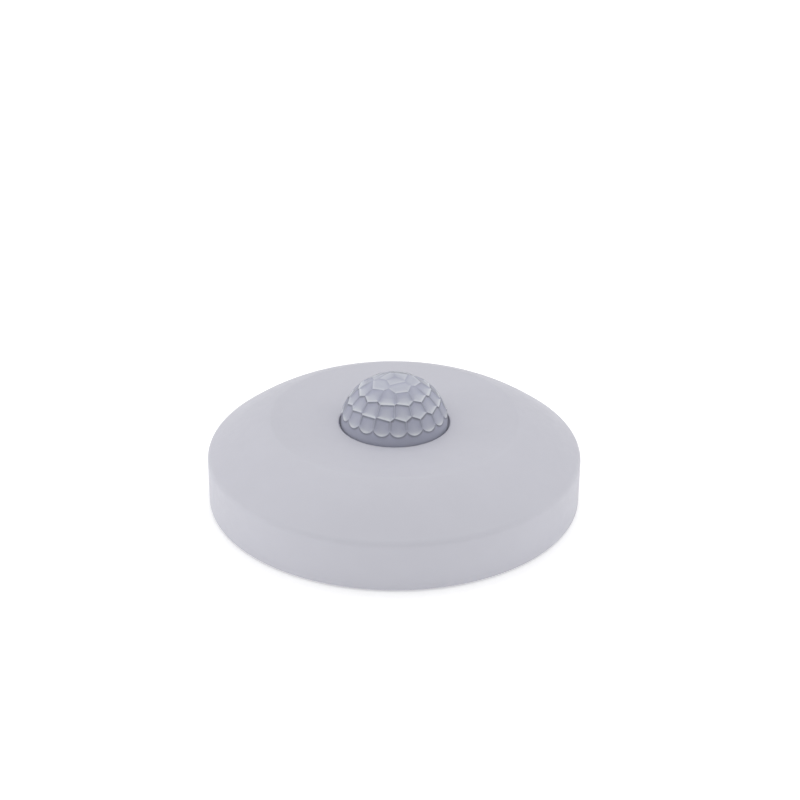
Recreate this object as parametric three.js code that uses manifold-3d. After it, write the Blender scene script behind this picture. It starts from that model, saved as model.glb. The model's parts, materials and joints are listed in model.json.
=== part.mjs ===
// A 360 degree ceiling motion sensor: a round surface-mounted housing with a domed infrared lens in its middle.
//
// Millimetres, +Z up. The origin is the centre of the base plate's rear face, which lies against the ceiling, so the
// sensor is drawn standing on its back with the lens on top. The base plate carries the circuit board, the mains
// terminals and the adjusters. The front cover carries the lens and pulls straight off the base along +Z.

import * as THREE from "three";
import { mergeVertices } from "three/addons/utils/BufferGeometryUtils.js";
import Module from "manifold-3d";

const wasm = await Module();
wasm.setup();

// ---- driving dimensions ----

// Front cover, outside.
const RIM_RADIUS = 57.5;
const RIM_Z = 0.4;
const WALL_TOP_Z = 14.2;
const SHOULDER = { radius: 55.9, z: 16.6 };
const CREASE = { radius: 38.4, z: 26.4 };
const OPENING_RADIUS = 17.0;
const OPENING_Z = 24.95;
const OPENING_EDGE = 0.5;
const PRY_NOTCH = { halfWidth: 4, top: 1.8 };

// Front cover, inside.
const SHELL = 2.1;
const COVER_UNDERSIDE = 24.1;
const CENTRING_RING = { inner: 20.0, outer: 21.2, bottom: 22.7 };
const RIB_ANGLES = [0, 45, 135, 180, 225, 315];
const RIB_THICKNESS = 1.2;
const BOSS = { radius: 2.7, bottom: 22.6, top: 24.6, pilotRadius: 1.25, pilotTop: 24.6 };
const BEAD = { inner: 54.5, outer: 55.9, span: 26, bottom: 4.6, top: 6.0 };

// Lens.
const LENS_RADIUS = 16.8;
const LENS_CENTRE_Z = 23.2;
const LENS_WALL = 0.8;
const LENS_FLANGE_RADIUS = 19.6;
const LENS_FLANGE_TOP = 23.9;
const LENS_FLANGE_THICKNESS = 1.4;
const LENS_STEPS = 7;
const RETAINER = { inner: 15.4, outer: 21.0, bottom: 20.9, top: 22.4, earRadius: 3.3, holeRadius: 1.4 };

// Base plate.
const BASE_RADIUS = 54.4;
const BASE_FLOOR = 2.4;
const SPIGOT_OUTER = 53.6;
const SPIGOT_INNER = 52.0;
const SPIGOT_TOP = 8.4;
const SLOT_CENTRE_X = 41;
const SLOT_WIDTH = 4.6;
const SLOT_LENGTH = 12;
const SLOT_PAD = { halfWidth: 5, halfLength: 9.5, top: 3.2 };
const CATCH = { span: 16, slitOffset: 10, slitSpan: 1.6, noseRadius: 54.1, noseBottom: 6.6, noseTop: 7.8 };
const BOARD_POST = { radius: 3.4, pilotRadius: 1.35, pilotBottom: 1.4 };
const STIFFENING_RING = { inner: 28.8, outer: 30, top: 3.8 };
const REAR_POCKET = { inner: 15, outer: 31, depth: 0.7 };
const CABLE_Y = -43;
const CABLE_HOLE_RADIUS = 7.0;
const GROMMET_SEAT = { radius: 8.4, depth: 1.0 };
const GROMMET_BORE = 3.6;

// Circuit board.
const BOARD_BOTTOM = 5.0;
const BOARD_THICKNESS = 1.6;
const BOARD_TOP = BOARD_BOTTOM + BOARD_THICKNESS;
const BOARD_RADIUS = 47.5;
const BOARD_HALF_WIDTH = 33.5;
const BOARD_NOTCH = { halfWidth: 9.5, top: -37.8 };
const BOARD_SCREW_HOLE = 1.7;
const FOOT = BOARD_TOP + 0.1; // where components stand, just clear of the board
const LEG_FOOT = BOARD_TOP + 0.05; // where their legs end
const BOARD_SCREWS = [
  [-29, -30],
  [29, -30],
  [0, 43],
];

// Terminal block: one pole for live, one for neutral, one for the switched load.
const POLE_PITCH = 7.6;
const POLES = 3;
const TERMINAL_Y = -31.5;

// The snap catches, the retainer's screws and the adjusters.
const CATCH_ANGLES = [90, 210, 330];
const RETAINER_ANGLES = [30, 150, 270];
const RETAINER_SCREW_RADIUS = 24;
const ADJUSTER_X = 25;
const ADJUSTERS = [
  { name: "sensitivity", y: -12 },
  { name: "time", y: 2.5 },
  { name: "daylight", y: 17 },
];

// How finely round things are divided.
const LARGE = 48;
const MEDIUM = 32;
const SMALL = 16;
const TINY = 8;

const radians = THREE.MathUtils.degToRad;

// ---- solids ----

// Turns a closed three.js geometry into a solid that can be joined and cut.
function solid(geometry) {
  const plain = geometry.clone();
  plain.deleteAttribute("normal");
  plain.deleteAttribute("uv");
  const merged = mergeVertices(plain, 1e-4);
  const vertProperties = new Float32Array(merged.attributes.position.array);
  const triVerts = new Uint32Array(merged.index.array);
  return new wasm.Manifold(new wasm.Mesh({ numProp: 3, vertProperties, triVerts }));
}

function geometryOf(body) {
  const mesh = body.getMesh();
  const geometry = new THREE.BufferGeometry();
  geometry.setAttribute("position", new THREE.BufferAttribute(mesh.vertProperties, 3));
  geometry.setIndex(new THREE.BufferAttribute(mesh.triVerts, 1));
  geometry.computeVertexNormals();
  return geometry;
}

const join = (...bodies) => bodies.reduce((a, b) => a.add(b));
const cut = (body, ...tools) => tools.reduce((a, b) => a.subtract(b), body);

// A block between two corners.
function block(x0, x1, y0, y1, z0, z1) {
  const geometry = new THREE.BoxGeometry(x1 - x0, y1 - y0, z1 - z0);
  return solid(geometry.translate((x0 + x1) / 2, (y0 + y1) / 2, (z0 + z1) / 2));
}

// An upright cylinder, or a cone where the two radii differ.
function post(x, y, radius, z0, z1, segments = SMALL, topRadius = radius) {
  const geometry = new THREE.CylinderGeometry(topRadius, radius, z1 - z0, segments);
  return solid(geometry.rotateX(Math.PI / 2).translate(x, y, (z0 + z1) / 2));
}

// A profile of [radius, z] pairs turned about the Z axis. Pairs run anticlockwise, with the radius to the right.
function turned(profile, segments, x = 0, y = 0) {
  const points = profile.map(([radius, z]) => new THREE.Vector2(radius, z));
  const geometry = new THREE.LatheGeometry(points, segments);
  return solid(geometry.rotateX(Math.PI / 2).translate(x, y, 0));
}

// A flat outline drawn in X and Y, raised from z0 to z1.
function raised(shape, z0, z1, curveSegments = SMALL) {
  const settings = { depth: z1 - z0, bevelEnabled: false, curveSegments };
  return solid(new THREE.ExtrudeGeometry(shape, settings).translate(0, 0, z0));
}

// A piece of a ring between two radii, centred on an angle in degrees.
function ringPiece(inner, outer, angle, span, z0, z1, segments = 4) {
  const from = radians(angle - span / 2);
  const to = radians(angle + span / 2);
  const shape = new THREE.Shape();
  shape.absarc(0, 0, outer, from, to, false);
  shape.absarc(0, 0, inner, to, from, true);
  return raised(shape, z0, z1, segments);
}

function roundedRectangle(x0, x1, y0, y1, corner) {
  const shape = new THREE.Shape();
  shape.absarc(x1 - corner, y0 + corner, corner, -Math.PI / 2, 0);
  shape.absarc(x1 - corner, y1 - corner, corner, 0, Math.PI / 2);
  shape.absarc(x0 + corner, y1 - corner, corner, Math.PI / 2, Math.PI);
  shape.absarc(x0 + corner, y0 + corner, corner, Math.PI, 1.5 * Math.PI);
  return shape;
}

// Where an angle in degrees meets a circle of the given radius.
function onCircle(radius, angle) {
  return [radius * Math.cos(radians(angle)), radius * Math.sin(radians(angle))];
}

// ---- materials ----

const finish = (color, roughness, metalness = 0) =>
  new THREE.MeshStandardMaterial({ color, roughness, metalness });

const FINISH = {
  housing: finish(0xe4e4ec, 0.55),
  lens: finish(0xc9ccd6, 0.35),
  rubber: finish(0x2b2c2e, 0.8),
  board: finish(0x1f5b3a, 0.45),
  terminal: finish(0x3f8f5a, 0.5),
  brass: finish(0xc9b26a, 0.35, 1),
  steel: finish(0xc4c6ca, 0.3, 1),
  relay: finish(0x1d1f24, 0.4),
  filmCapacitor: finish(0xe0b93a, 0.45),
  sleeve: finish(0x20242e, 0.35),
  varistor: finish(0x2f6fb0, 0.4),
  fuse: finish(0x6b3a22, 0.4),
  chip: finish(0x18191b, 0.5),
  resistor: finish(0x8fb4c8, 0.4),
  adjuster: finish(0x2d4f8f, 0.45),
  knob: finish(0xf1efe6, 0.45),
  lightSensor: finish(0xb5502e, 0.4),
  led: finish(0xc0302c, 0.2),
  tower: finish(0x26282b, 0.6),
  window: finish(0x3a3438, 0.1),
};

const sensor = new THREE.Group();

function add(name, body, material) {
  const mesh = new THREE.Mesh(geometryOf(body), material);
  mesh.name = name;
  sensor.add(mesh);
}

// ---- front cover ----

// The outline from the rim, up an upright wall to a tight shoulder, then in a slight bulge to the crease. From the
// crease the crown dips a little to the rounded edge of the lens opening.
function coverOutside() {
  const path = new THREE.Path();
  path.moveTo(RIM_RADIUS, RIM_Z);
  path.lineTo(RIM_RADIUS, WALL_TOP_Z);
  path.quadraticCurveTo(RIM_RADIUS, 15.6, SHOULDER.radius, SHOULDER.z);
  path.quadraticCurveTo(47.3, 23.4, CREASE.radius, CREASE.z);
  path.lineTo(OPENING_RADIUS + OPENING_EDGE, OPENING_Z);
  path.quadraticCurveTo(OPENING_RADIUS, OPENING_Z, OPENING_RADIUS, OPENING_Z - OPENING_EDGE);
  return path.getPoints(3).map((p) => [p.x, p.y]);
}

// The inside runs from the opening back to the rim, thinnest at the opening, and has a short ring that centres the
// lens flange.
function coverInside() {
  return [
    [OPENING_RADIUS, COVER_UNDERSIDE],
    [CENTRING_RING.inner, COVER_UNDERSIDE],
    [CENTRING_RING.inner, CENTRING_RING.bottom],
    [CENTRING_RING.outer, CENTRING_RING.bottom],
    [CENTRING_RING.outer, COVER_UNDERSIDE],
    [CREASE.radius - 0.7, CREASE.z - SHELL],
    [46.2, 20.3],
    [SHOULDER.radius - 1.7, SHOULDER.z - 1.4],
    [RIM_RADIUS - SHELL, WALL_TOP_Z - 0.5],
    [RIM_RADIUS - SHELL, RIM_Z],
    [RIM_RADIUS, RIM_Z],
  ];
}

// A thin web under the crown, standing on the inner face between the lens and the wall.
function coverRib(angle) {
  const shape = new THREE.Shape();
  const corners = [
    [28, 25],
    [38, 25],
    [46.5, 21.3],
    [54.4, 15.6],
    [55.8, 12],
    [55.8, 9.5],
    [54.2, 9.5],
    [53.2, 12.6],
    [45.6, 18.4],
    [37.2, 22.4],
    [28, 22.4],
  ];
  shape.setFromPoints(corners.map(([radius, z]) => new THREE.Vector2(radius, z)));
  const geometry = new THREE.ExtrudeGeometry(shape, { depth: RIB_THICKNESS, bevelEnabled: false });
  geometry.translate(0, 0, -RIB_THICKNESS / 2);
  return solid(geometry.rotateX(Math.PI / 2).rotateZ(radians(angle)));
}

function frontCover() {
  let shell = turned([...coverOutside(), ...coverInside()], LARGE);
  for (const angle of RIB_ANGLES) shell = join(shell, coverRib(angle));
  // Bosses for the screws that hold the lens retainer.
  for (const angle of RETAINER_ANGLES) {
    const [x, y] = onCircle(RETAINER_SCREW_RADIUS, angle);
    const boss = post(x, y, BOSS.radius, BOSS.bottom, BOSS.top);
    const pilot = post(x, y, BOSS.pilotRadius, BOSS.bottom - 1, BOSS.pilotTop, TINY);
    shell = cut(join(shell, boss), pilot);
  }
  // Beads that the base plate's catches snap over.
  for (const angle of CATCH_ANGLES) {
    shell = join(shell, ringPiece(BEAD.inner, BEAD.outer, angle, BEAD.span, BEAD.bottom, BEAD.top, 6));
  }
  // A notch in the rim for the screwdriver that prises the cover off.
  const { halfWidth, top } = PRY_NOTCH;
  return cut(shell, block(-halfWidth, halfWidth, BASE_RADIUS - 4, RIM_RADIUS + 1, 0, top));
}

// ---- lens ----

// A hollow dome on a flat flange. Its outside starts at the flange's top and its inside at the dome's centre.
function lensDome() {
  const outer = [];
  const inner = [];
  const innerRadius = LENS_RADIUS - LENS_WALL;
  const height = LENS_CENTRE_Z + LENS_RADIUS - LENS_FLANGE_TOP;
  for (let i = 0; i < LENS_STEPS; i++) {
    const angle = (i / LENS_STEPS) * (Math.PI / 2);
    outer.push([LENS_RADIUS * Math.cos(angle), LENS_FLANGE_TOP + height * Math.sin(angle)]);
    inner.push([innerRadius * Math.cos(angle), LENS_CENTRE_Z + innerRadius * Math.sin(angle)]);
  }
  outer.push([0, LENS_CENTRE_Z + LENS_RADIUS]);
  inner.push([0, LENS_CENTRE_Z + innerRadius]);
  const flangeBottom = LENS_FLANGE_TOP - LENS_FLANGE_THICKNESS;
  const flange = [
    [innerRadius, flangeBottom],
    [LENS_FLANGE_RADIUS, flangeBottom],
    [LENS_FLANGE_RADIUS, LENS_FLANGE_TOP],
  ];
  return turned([...inner.reverse(), ...flange, ...outer], MEDIUM);
}

// The ring that clamps the lens flange up against the cover, with an ear for each of its screws.
function lensRetainer() {
  const { inner, outer, bottom, top, earRadius, holeRadius } = RETAINER;
  let ring = post(0, 0, outer, bottom, top, MEDIUM);
  for (const angle of RETAINER_ANGLES) {
    const [x, y] = onCircle(RETAINER_SCREW_RADIUS, angle);
    ring = cut(join(ring, post(x, y, earRadius, bottom, top)), post(x, y, holeRadius, bottom - 1, top + 1, TINY));
  }
  return cut(ring, post(0, 0, inner, bottom - 1, top + 1, MEDIUM));
}

// The two sizes of pan-head screw: one holds the board, the other the lens retainer.
const BOARD_SCREW = { headRadius: 2.8, headHeight: 1.7, shankRadius: 1.1, length: 4.8 };
const RETAINER_SCREW = { headRadius: 2.3, headHeight: 1.3, shankRadius: 1.0, length: 3.6 };

// A cross-recess screw whose head rests on the level z = seat. It points down, or up where way is -1.
function panScrew(x, y, seat, size, way = 1) {
  const { headRadius, headHeight, shankRadius, length } = size;
  const outline = [
    [0, -length],
    [shankRadius * 0.4, -length],
    [shankRadius, -length + shankRadius],
    [shankRadius, 0],
    [headRadius, 0],
    [headRadius, headHeight * 0.5],
    [headRadius * 0.75, headHeight],
    [0, headHeight],
  ];
  const profile = outline.map(([radius, z]) => [radius, seat + way * z]);
  const screw = turned(way > 0 ? profile : profile.reverse(), 12, x, y);
  const arm = headRadius * 0.62;
  const slot = headRadius * 0.16;
  const recess = [seat + way * headHeight * 0.35, seat + way * (headHeight + 1)].sort((a, b) => a - b);
  return cut(
    screw,
    block(x - arm, x + arm, y - slot, y + slot, ...recess),
    block(x - slot, x + slot, y - arm, y + arm, ...recess),
  );
}

// ---- base plate ----

const FOOTING = BASE_FLOOR - 0.4; // where raised features start, a little inside the floor

function slotHole(x) {
  const half = SLOT_WIDTH / 2;
  const outline = roundedRectangle(x - half, x + half, -SLOT_LENGTH / 2, SLOT_LENGTH / 2, half - 0.01);
  return raised(outline, -1, SLOT_PAD.top + 1, 4);
}

// The upstanding ring that the cover drops over. Three tongues of it, each between two slits, are the catches.
function spigot() {
  let ring = cut(
    post(0, 0, SPIGOT_OUTER, FOOTING, SPIGOT_TOP, LARGE),
    post(0, 0, SPIGOT_INNER, 0, SPIGOT_TOP + 1, LARGE),
  );
  const { span, slitOffset, slitSpan, noseRadius, noseBottom, noseTop } = CATCH;
  for (const angle of CATCH_ANGLES) {
    for (const side of [-1, 1]) {
      const slitAngle = angle + side * slitOffset;
      const slit = ringPiece(SPIGOT_INNER - 1, SPIGOT_OUTER + 1, slitAngle, slitSpan, BASE_FLOOR, SPIGOT_TOP + 1, 1);
      ring = cut(ring, slit);
    }
    ring = join(ring, ringPiece(SPIGOT_OUTER - 0.6, noseRadius, angle, span, noseBottom, noseTop, 3));
  }
  return ring;
}

function basePlate() {
  let plate = join(post(0, 0, BASE_RADIUS, 0, BASE_FLOOR, LARGE), spigot());
  for (const [x, y] of BOARD_SCREWS) {
    const { radius, pilotRadius, pilotBottom } = BOARD_POST;
    plate = join(plate, post(x, y, radius, FOOTING, BOARD_BOTTOM));
    plate = cut(plate, post(x, y, pilotRadius, pilotBottom, BOARD_BOTTOM + 1, TINY));
  }
  const stiffening = cut(
    post(0, 0, STIFFENING_RING.outer, FOOTING, STIFFENING_RING.top, MEDIUM),
    post(0, 0, STIFFENING_RING.inner, 0, STIFFENING_RING.top + 1, MEDIUM),
  );
  plate = join(plate, stiffening);
  // Screw slots, each through a raised pad.
  for (const x of [-SLOT_CENTRE_X, SLOT_CENTRE_X]) {
    const { halfWidth, halfLength, top } = SLOT_PAD;
    const pad = roundedRectangle(x - halfWidth, x + halfWidth, -halfLength, halfLength, 2.5);
    plate = cut(join(plate, raised(pad, FOOTING, top, 3)), slotHole(x));
  }
  // The cable hole and the seat for its grommet, then a shallow ring pocket in the rear face.
  const pocket = cut(
    post(0, 0, REAR_POCKET.outer, -1, REAR_POCKET.depth, MEDIUM),
    post(0, 0, REAR_POCKET.inner, -2, REAR_POCKET.depth + 1, MEDIUM),
  );
  return cut(
    plate,
    post(0, CABLE_Y, CABLE_HOLE_RADIUS, -1, BASE_FLOOR + 1, SMALL),
    post(0, CABLE_Y, GROMMET_SEAT.radius, -1, GROMMET_SEAT.depth, SMALL),
    pocket,
  );
}

// A rubber bush: a wide flange behind the floor, a narrower one in front of it, and a nose that grips the cable.
function cableGrommet() {
  const profile = [
    [GROMMET_BORE, 0.25],
    [8.1, 0.25],
    [8.1, 0.8],
    [6.7, 0.8],
    [6.7, 2.6],
    [8.6, 2.6],
    [8.6, 3.5],
    [5.4, 3.7],
    [4.6, 6.2],
    [GROMMET_BORE, 6.2],
    [GROMMET_BORE, 0.25],
  ];
  return turned(profile, SMALL, 0, CABLE_Y);
}

// ---- circuit board ----

// A disc with two straight sides, and a notch over the cable hole.
function mainBoard() {
  const corner = Math.acos(BOARD_HALF_WIDTH / BOARD_RADIUS);
  const { halfWidth, top } = BOARD_NOTCH;
  const notchAngle = Math.asin(halfWidth / BOARD_RADIUS);
  const shape = new THREE.Shape();
  shape.absarc(0, 0, BOARD_RADIUS, -Math.PI / 2 + notchAngle, -corner, false);
  shape.absarc(0, 0, BOARD_RADIUS, corner, Math.PI - corner, false);
  shape.absarc(0, 0, BOARD_RADIUS, Math.PI + corner, 1.5 * Math.PI - notchAngle, false);
  shape.lineTo(-halfWidth, top);
  shape.lineTo(halfWidth, top);
  let board = raised(shape, BOARD_BOTTOM, BOARD_TOP, 8);
  for (const [x, y] of BOARD_SCREWS) {
    board = cut(board, post(x, y, BOARD_SCREW_HOLE, BOARD_BOTTOM - 1, BOARD_TOP + 1, 12));
  }
  return board;
}

// ---- terminal block ----

const poleX = (pole) => (pole - (POLES - 1) / 2) * POLE_PITCH;
const HOUSING = { top: 19.4, halfDepth: 5.5, cavityBottom: 7.6, cavityTop: 16.5, shoulder: 17.3 };
const WIRE_ENTRY = { halfWidth: 2.3, bottom: 8.0, top: 12.6 };
const BUSBAR = { halfWidth: 1.4, bottom: 12.4, top: 13.2 };
const CAGE = { half: 2.5, bottom: 8.0, top: 14.9, wall: 0.8, floor: 1.0 };
const TERMINAL_SCREW = { tip: 13.5, radius: 1.4, head: 17.4, headRadius: 2.3, top: 19.0 };

// Each pole is a cavity for its cage, open to the wire at the front and to the screwdriver at the top.
function terminalHousing() {
  const { top, halfDepth, cavityBottom, cavityTop, shoulder } = HOUSING;
  const half = (POLES * POLE_PITCH) / 2 + 0.6;
  const front = TERMINAL_Y - halfDepth;
  const back = TERMINAL_Y + halfDepth;
  let housing = block(-half, half, front, back, BOARD_TOP, top);
  for (let pole = 0; pole < POLES; pole++) {
    const x = poleX(pole);
    const entry = WIRE_ENTRY.halfWidth;
    const tail = BUSBAR.halfWidth + 0.3;
    const screwRadius = TERMINAL_SCREW.radius + 0.35;
    const headRadius = TERMINAL_SCREW.headRadius + 0.3;
    housing = cut(
      housing,
      block(x - 2.8, x + 2.8, front + 1.2, TERMINAL_Y + 3.0, cavityBottom, cavityTop),
      block(x - entry, x + entry, front - 1, front + 1.5, WIRE_ENTRY.bottom, WIRE_ENTRY.top),
      block(x - tail, x + tail, TERMINAL_Y + 2.9, back + 1, BOARD_TOP - 1, BUSBAR.top + 0.3),
      post(x, TERMINAL_Y, screwRadius, cavityTop - 1, top, 12),
      post(x, TERMINAL_Y, headRadius, shoulder, top + 1),
    );
  }
  return housing;
}

// The busbar is the fixed jaw: the wire lies under it, and its tail goes down to the board.
function busbar(x) {
  const { halfWidth, bottom, top } = BUSBAR;
  const tailEnd = TERMINAL_Y + 4.4;
  const tailStart = tailEnd - 0.8;
  return join(
    block(x - halfWidth, x + halfWidth, TERMINAL_Y - 3.4, tailEnd, bottom, top),
    block(x - 1.0, x + 1.0, tailStart, tailEnd, FOOT, top - 0.2),
  );
}

// The cage is the moving jaw: the screw lifts it, and its floor presses the wire up against the busbar.
function cage(x) {
  const { half, bottom, top, wall, floor } = CAGE;
  const window = half - wall;
  return cut(
    block(x - half, x + half, TERMINAL_Y - half, TERMINAL_Y + half, bottom, top),
    block(x - window, x + window, TERMINAL_Y - half - 1, TERMINAL_Y + half + 1, bottom + floor, top - floor),
    post(x, TERMINAL_Y, TERMINAL_SCREW.radius + 0.2, top - 2, top + 1, 12),
  );
}

function terminalScrew(x) {
  const { tip, radius, head, headRadius, top } = TERMINAL_SCREW;
  const profile = [
    [0, tip],
    [radius - 0.4, tip],
    [radius, tip + 0.4],
    [radius, head],
    [headRadius, head],
    [headRadius, top - 0.3],
    [headRadius - 0.3, top],
    [0, top],
  ];
  const slot = block(x - 3, x + 3, TERMINAL_Y - 0.35, TERMINAL_Y + 0.35, top - 0.9, top + 1);
  return cut(turned(profile, SMALL, x, TERMINAL_Y), slot);
}

// ---- components on the board ----

function relay() {
  return raised(roundedRectangle(-9.5, 9.5, 22.3, 37.7, 0.8), FOOT, 21.4, 2);
}

function filmCapacitor() {
  return raised(roundedRectangle(-28.75, -21.25, 7, 25, 0.7), FOOT, 19.0, 2);
}

// A can capacitor: a rolled groove near its foot, and a level top.
function canCapacitor(x, y, radius, height) {
  const top = FOOT + height;
  const profile = [
    [0, FOOT],
    [radius, FOOT],
    [radius, FOOT + 0.9],
    [radius * 0.92, FOOT + 1.4],
    [radius, FOOT + 1.9],
    [radius, top - 0.4],
    [radius - 0.4, top],
    [0, top],
  ];
  return turned(profile, SMALL, x, y);
}

// A coated disc standing on two legs.
function varistor() {
  const [x, y, z] = [-19, 33, BOARD_TOP + 7];
  return join(
    solid(new THREE.CylinderGeometry(5.2, 5.2, 4, SMALL).translate(x, y, z)),
    post(x - 2.5, y, 0.45, FOOT, z, TINY),
    post(x + 2.5, y, 0.45, FOOT, z, TINY),
  );
}

// A fuse in a round moulded case.
function fuse() {
  const radius = 4.2;
  const top = FOOT + 8;
  const profile = [
    [0, FOOT],
    [radius, FOOT],
    [radius, top - 0.6],
    [radius - 0.6, top],
    [0, top],
  ];
  return turned(profile, SMALL, -27, -8);
}

// A moulded package with a row of pins down each long side.
function pinPackage(x, y, length, width, height, pinsPerSide, pitch) {
  const bottom = BOARD_TOP + 0.8;
  const pinHalf = 0.35;
  let body = block(x - length / 2, x + length / 2, y - width / 2, y + width / 2, bottom, bottom + height);
  for (let i = 0; i < pinsPerSide; i++) {
    const pinX = x + (i - (pinsPerSide - 1) / 2) * pitch;
    for (const side of [-1, 1]) {
      const ends = [y + side * (width / 2 - 0.3), y + side * (width / 2 + 0.7)].sort((a, b) => a - b);
      body = join(body, block(pinX - pinHalf, pinX + pinHalf, ...ends, LEG_FOOT, bottom + height / 2));
    }
  }
  return body;
}

// A resistor lying along X on the board between two bent leads.
function dropperResistor() {
  const [y, z] = [16.4, BOARD_TOP + 2.2];
  const lead = 0.35;
  let made = solid(new THREE.CylinderGeometry(1.6, 1.6, 9, 12).rotateZ(Math.PI / 2).translate(0, y, z));
  for (const side of [-1, 1]) {
    const cap = new THREE.CylinderGeometry(1.85, 1.85, 1.6, 12).rotateZ(Math.PI / 2);
    const bend = side * 6.4;
    const ends = [side * 4.3, bend].sort((a, b) => a - b);
    made = join(
      made,
      solid(cap.translate(side * 3.9, y, z)),
      block(...ends, y - lead, y + lead, z - lead, z + lead),
      block(bend - lead, bend + lead, y - lead, y + lead, LEG_FOOT, z + lead),
    );
  }
  return made;
}

// A small transistor package: a half-round body on three legs, flat side towards -Y.
function transistor(x, y) {
  const shape = new THREE.Shape();
  shape.absarc(x, y, 2.4, radians(-35), radians(215), false);
  let body = raised(shape, BOARD_TOP + 3, BOARD_TOP + 7.8, 8);
  for (const leg of [-1.27, 0, 1.27]) {
    body = join(body, block(x + leg - 0.25, x + leg + 0.25, y - 0.25, y + 0.25, LEG_FOOT, BOARD_TOP + 4));
  }
  return body;
}

// ---- adjusters ----

const ADJUSTER = { half: 5, top: 11.4, collarRadius: 3.6, collarTop: 12.2, boreRadius: 2.2, boreBottom: 8 };
const KNOB = { radius: 4.5, fluteDepth: 0.35, flutes: 18, bottom: 12.5, top: 16.2, shaft: 1.9, shaftEnd: 8.3 };

function adjusterBody(y) {
  const x = ADJUSTER_X;
  const { half, top, collarRadius, collarTop, boreRadius, boreBottom } = ADJUSTER;
  const body = raised(roundedRectangle(x - half, x + half, y - half, y + half, 0.8), FOOT, top, 2);
  return cut(
    join(body, post(x, y, collarRadius, top - 0.4, collarTop)),
    post(x, y, boreRadius, boreBottom, collarTop + 1),
  );
}

// A fluted knob on a shaft. It has a screwdriver slot, and a dimple that shows which way it points.
function adjusterKnob(y) {
  const x = ADJUSTER_X;
  const { radius, fluteDepth, flutes, bottom, top, shaft, shaftEnd } = KNOB;
  const points = [];
  for (let i = 0; i < 2 * flutes; i++) {
    const reach = i % 2 ? radius - fluteDepth : radius;
    const angle = (i / flutes) * Math.PI;
    points.push(new THREE.Vector2(x + reach * Math.cos(angle), y + reach * Math.sin(angle)));
  }
  const knob = join(raised(new THREE.Shape(points), bottom, top), post(x, y, shaft, shaftEnd, bottom + 0.5));
  return cut(
    knob,
    block(x - 0.45, x + 0.45, y - 3.2, y + 3.2, top - 1, top + 1),
    post(x, y + 3.4, 0.55, top - 1, top + 1, TINY),
  );
}

// ---- sensing parts under the lens ----

const DETECTOR = { base: 18.5, flangeRadius: 4.7, canRadius: 4.15, top: 22.6 };
const DETECTOR_WINDOW = { halfX: 2.3, halfY: 1.8, bottom: 22.25, top: 22.55 };
const LIGHT_SENSOR = { x: 11, y: -6 };
const STATUS_LED = { x: -11, y: -6 };

// A hollow column that holds the detector up at the lens's focus. The detector's legs run down inside it.
function sensorTower() {
  const bore = 4.0;
  const seat = DETECTOR.base - 0.1;
  const cup = { bore: 5.0, radius: 6.3, top: 19.2 };
  const profile = [
    [bore, FOOT],
    [7.0, FOOT],
    [7.0, 7.9],
    [5.4, 8.3],
    [5.4, 16.8],
    [cup.radius, 17.4],
    [cup.radius, cup.top],
    [cup.bore, cup.top],
    [cup.bore, seat],
    [bore, seat],
    [bore, FOOT],
  ];
  return turned(profile, 20);
}

// A metal can with a flange, a square recess in its top for the window, and three legs.
function infraredDetector() {
  const { base, flangeRadius, canRadius, top } = DETECTOR;
  const profile = [
    [0, base],
    [flangeRadius, base],
    [flangeRadius, base + 0.6],
    [canRadius, base + 0.6],
    [canRadius, top - 0.3],
    [canRadius - 0.25, top],
    [0, top],
  ];
  const { halfX, halfY, bottom } = DETECTOR_WINDOW;
  const gap = 0.2;
  const recess = block(-halfX - gap, halfX + gap, -halfY - gap, halfY + gap, bottom - 0.05, top + 1);
  let can = cut(turned(profile, 20), recess);
  for (const angle of [90, 210, 330]) {
    can = join(can, post(...onCircle(2.4, angle), 0.35, FOOT, base + 0.3, TINY));
  }
  return can;
}

function detectorWindow() {
  const { halfX, halfY, bottom, top } = DETECTOR_WINDOW;
  return block(-halfX, halfX, -halfY, halfY, bottom, top);
}

// A round light-dependent cell on two legs, looking up through the lens.
function lightSensor() {
  const { x, y } = LIGHT_SENSOR;
  const [cellBottom, cellTop] = [15.6, 17.6];
  return join(
    post(x, y, 2.55, cellBottom, cellTop),
    post(x - 1.3, y, 0.3, FOOT, cellBottom + 0.4, TINY),
    post(x + 1.3, y, 0.3, FOOT, cellBottom + 0.4, TINY),
  );
}

function statusLed() {
  const { x, y } = STATUS_LED;
  const base = 13.4;
  const profile = [
    [0, base],
    [1.9, base],
    [1.9, base + 0.9],
    [1.5, base + 0.9],
    [1.5, base + 3.2],
    [1.1, base + 4.2],
    [0.5, base + 4.6],
    [0, base + 4.7],
  ];
  return join(
    turned(profile, 12, x, y),
    post(x - 1.0, y, 0.3, FOOT, base + 0.6, TINY),
    post(x + 1.0, y, 0.3, FOOT, base + 0.6, TINY),
  );
}

// ---- assembly ----

add("base_plate", basePlate(), FINISH.housing);
add("cable_grommet", cableGrommet(), FINISH.rubber);
add("main_board", mainBoard(), FINISH.board);
BOARD_SCREWS.forEach(([x, y], i) => {
  add(`board_screw_${i + 1}`, panScrew(x, y, LEG_FOOT, BOARD_SCREW), FINISH.steel);
});

add("terminal_housing", terminalHousing(), FINISH.terminal);
for (let pole = 0; pole < POLES; pole++) {
  const x = poleX(pole);
  add(`terminal_busbar_${pole + 1}`, busbar(x), FINISH.brass);
  add(`terminal_cage_${pole + 1}`, cage(x), FINISH.steel);
  add(`terminal_screw_${pole + 1}`, terminalScrew(x), FINISH.steel);
}

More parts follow.
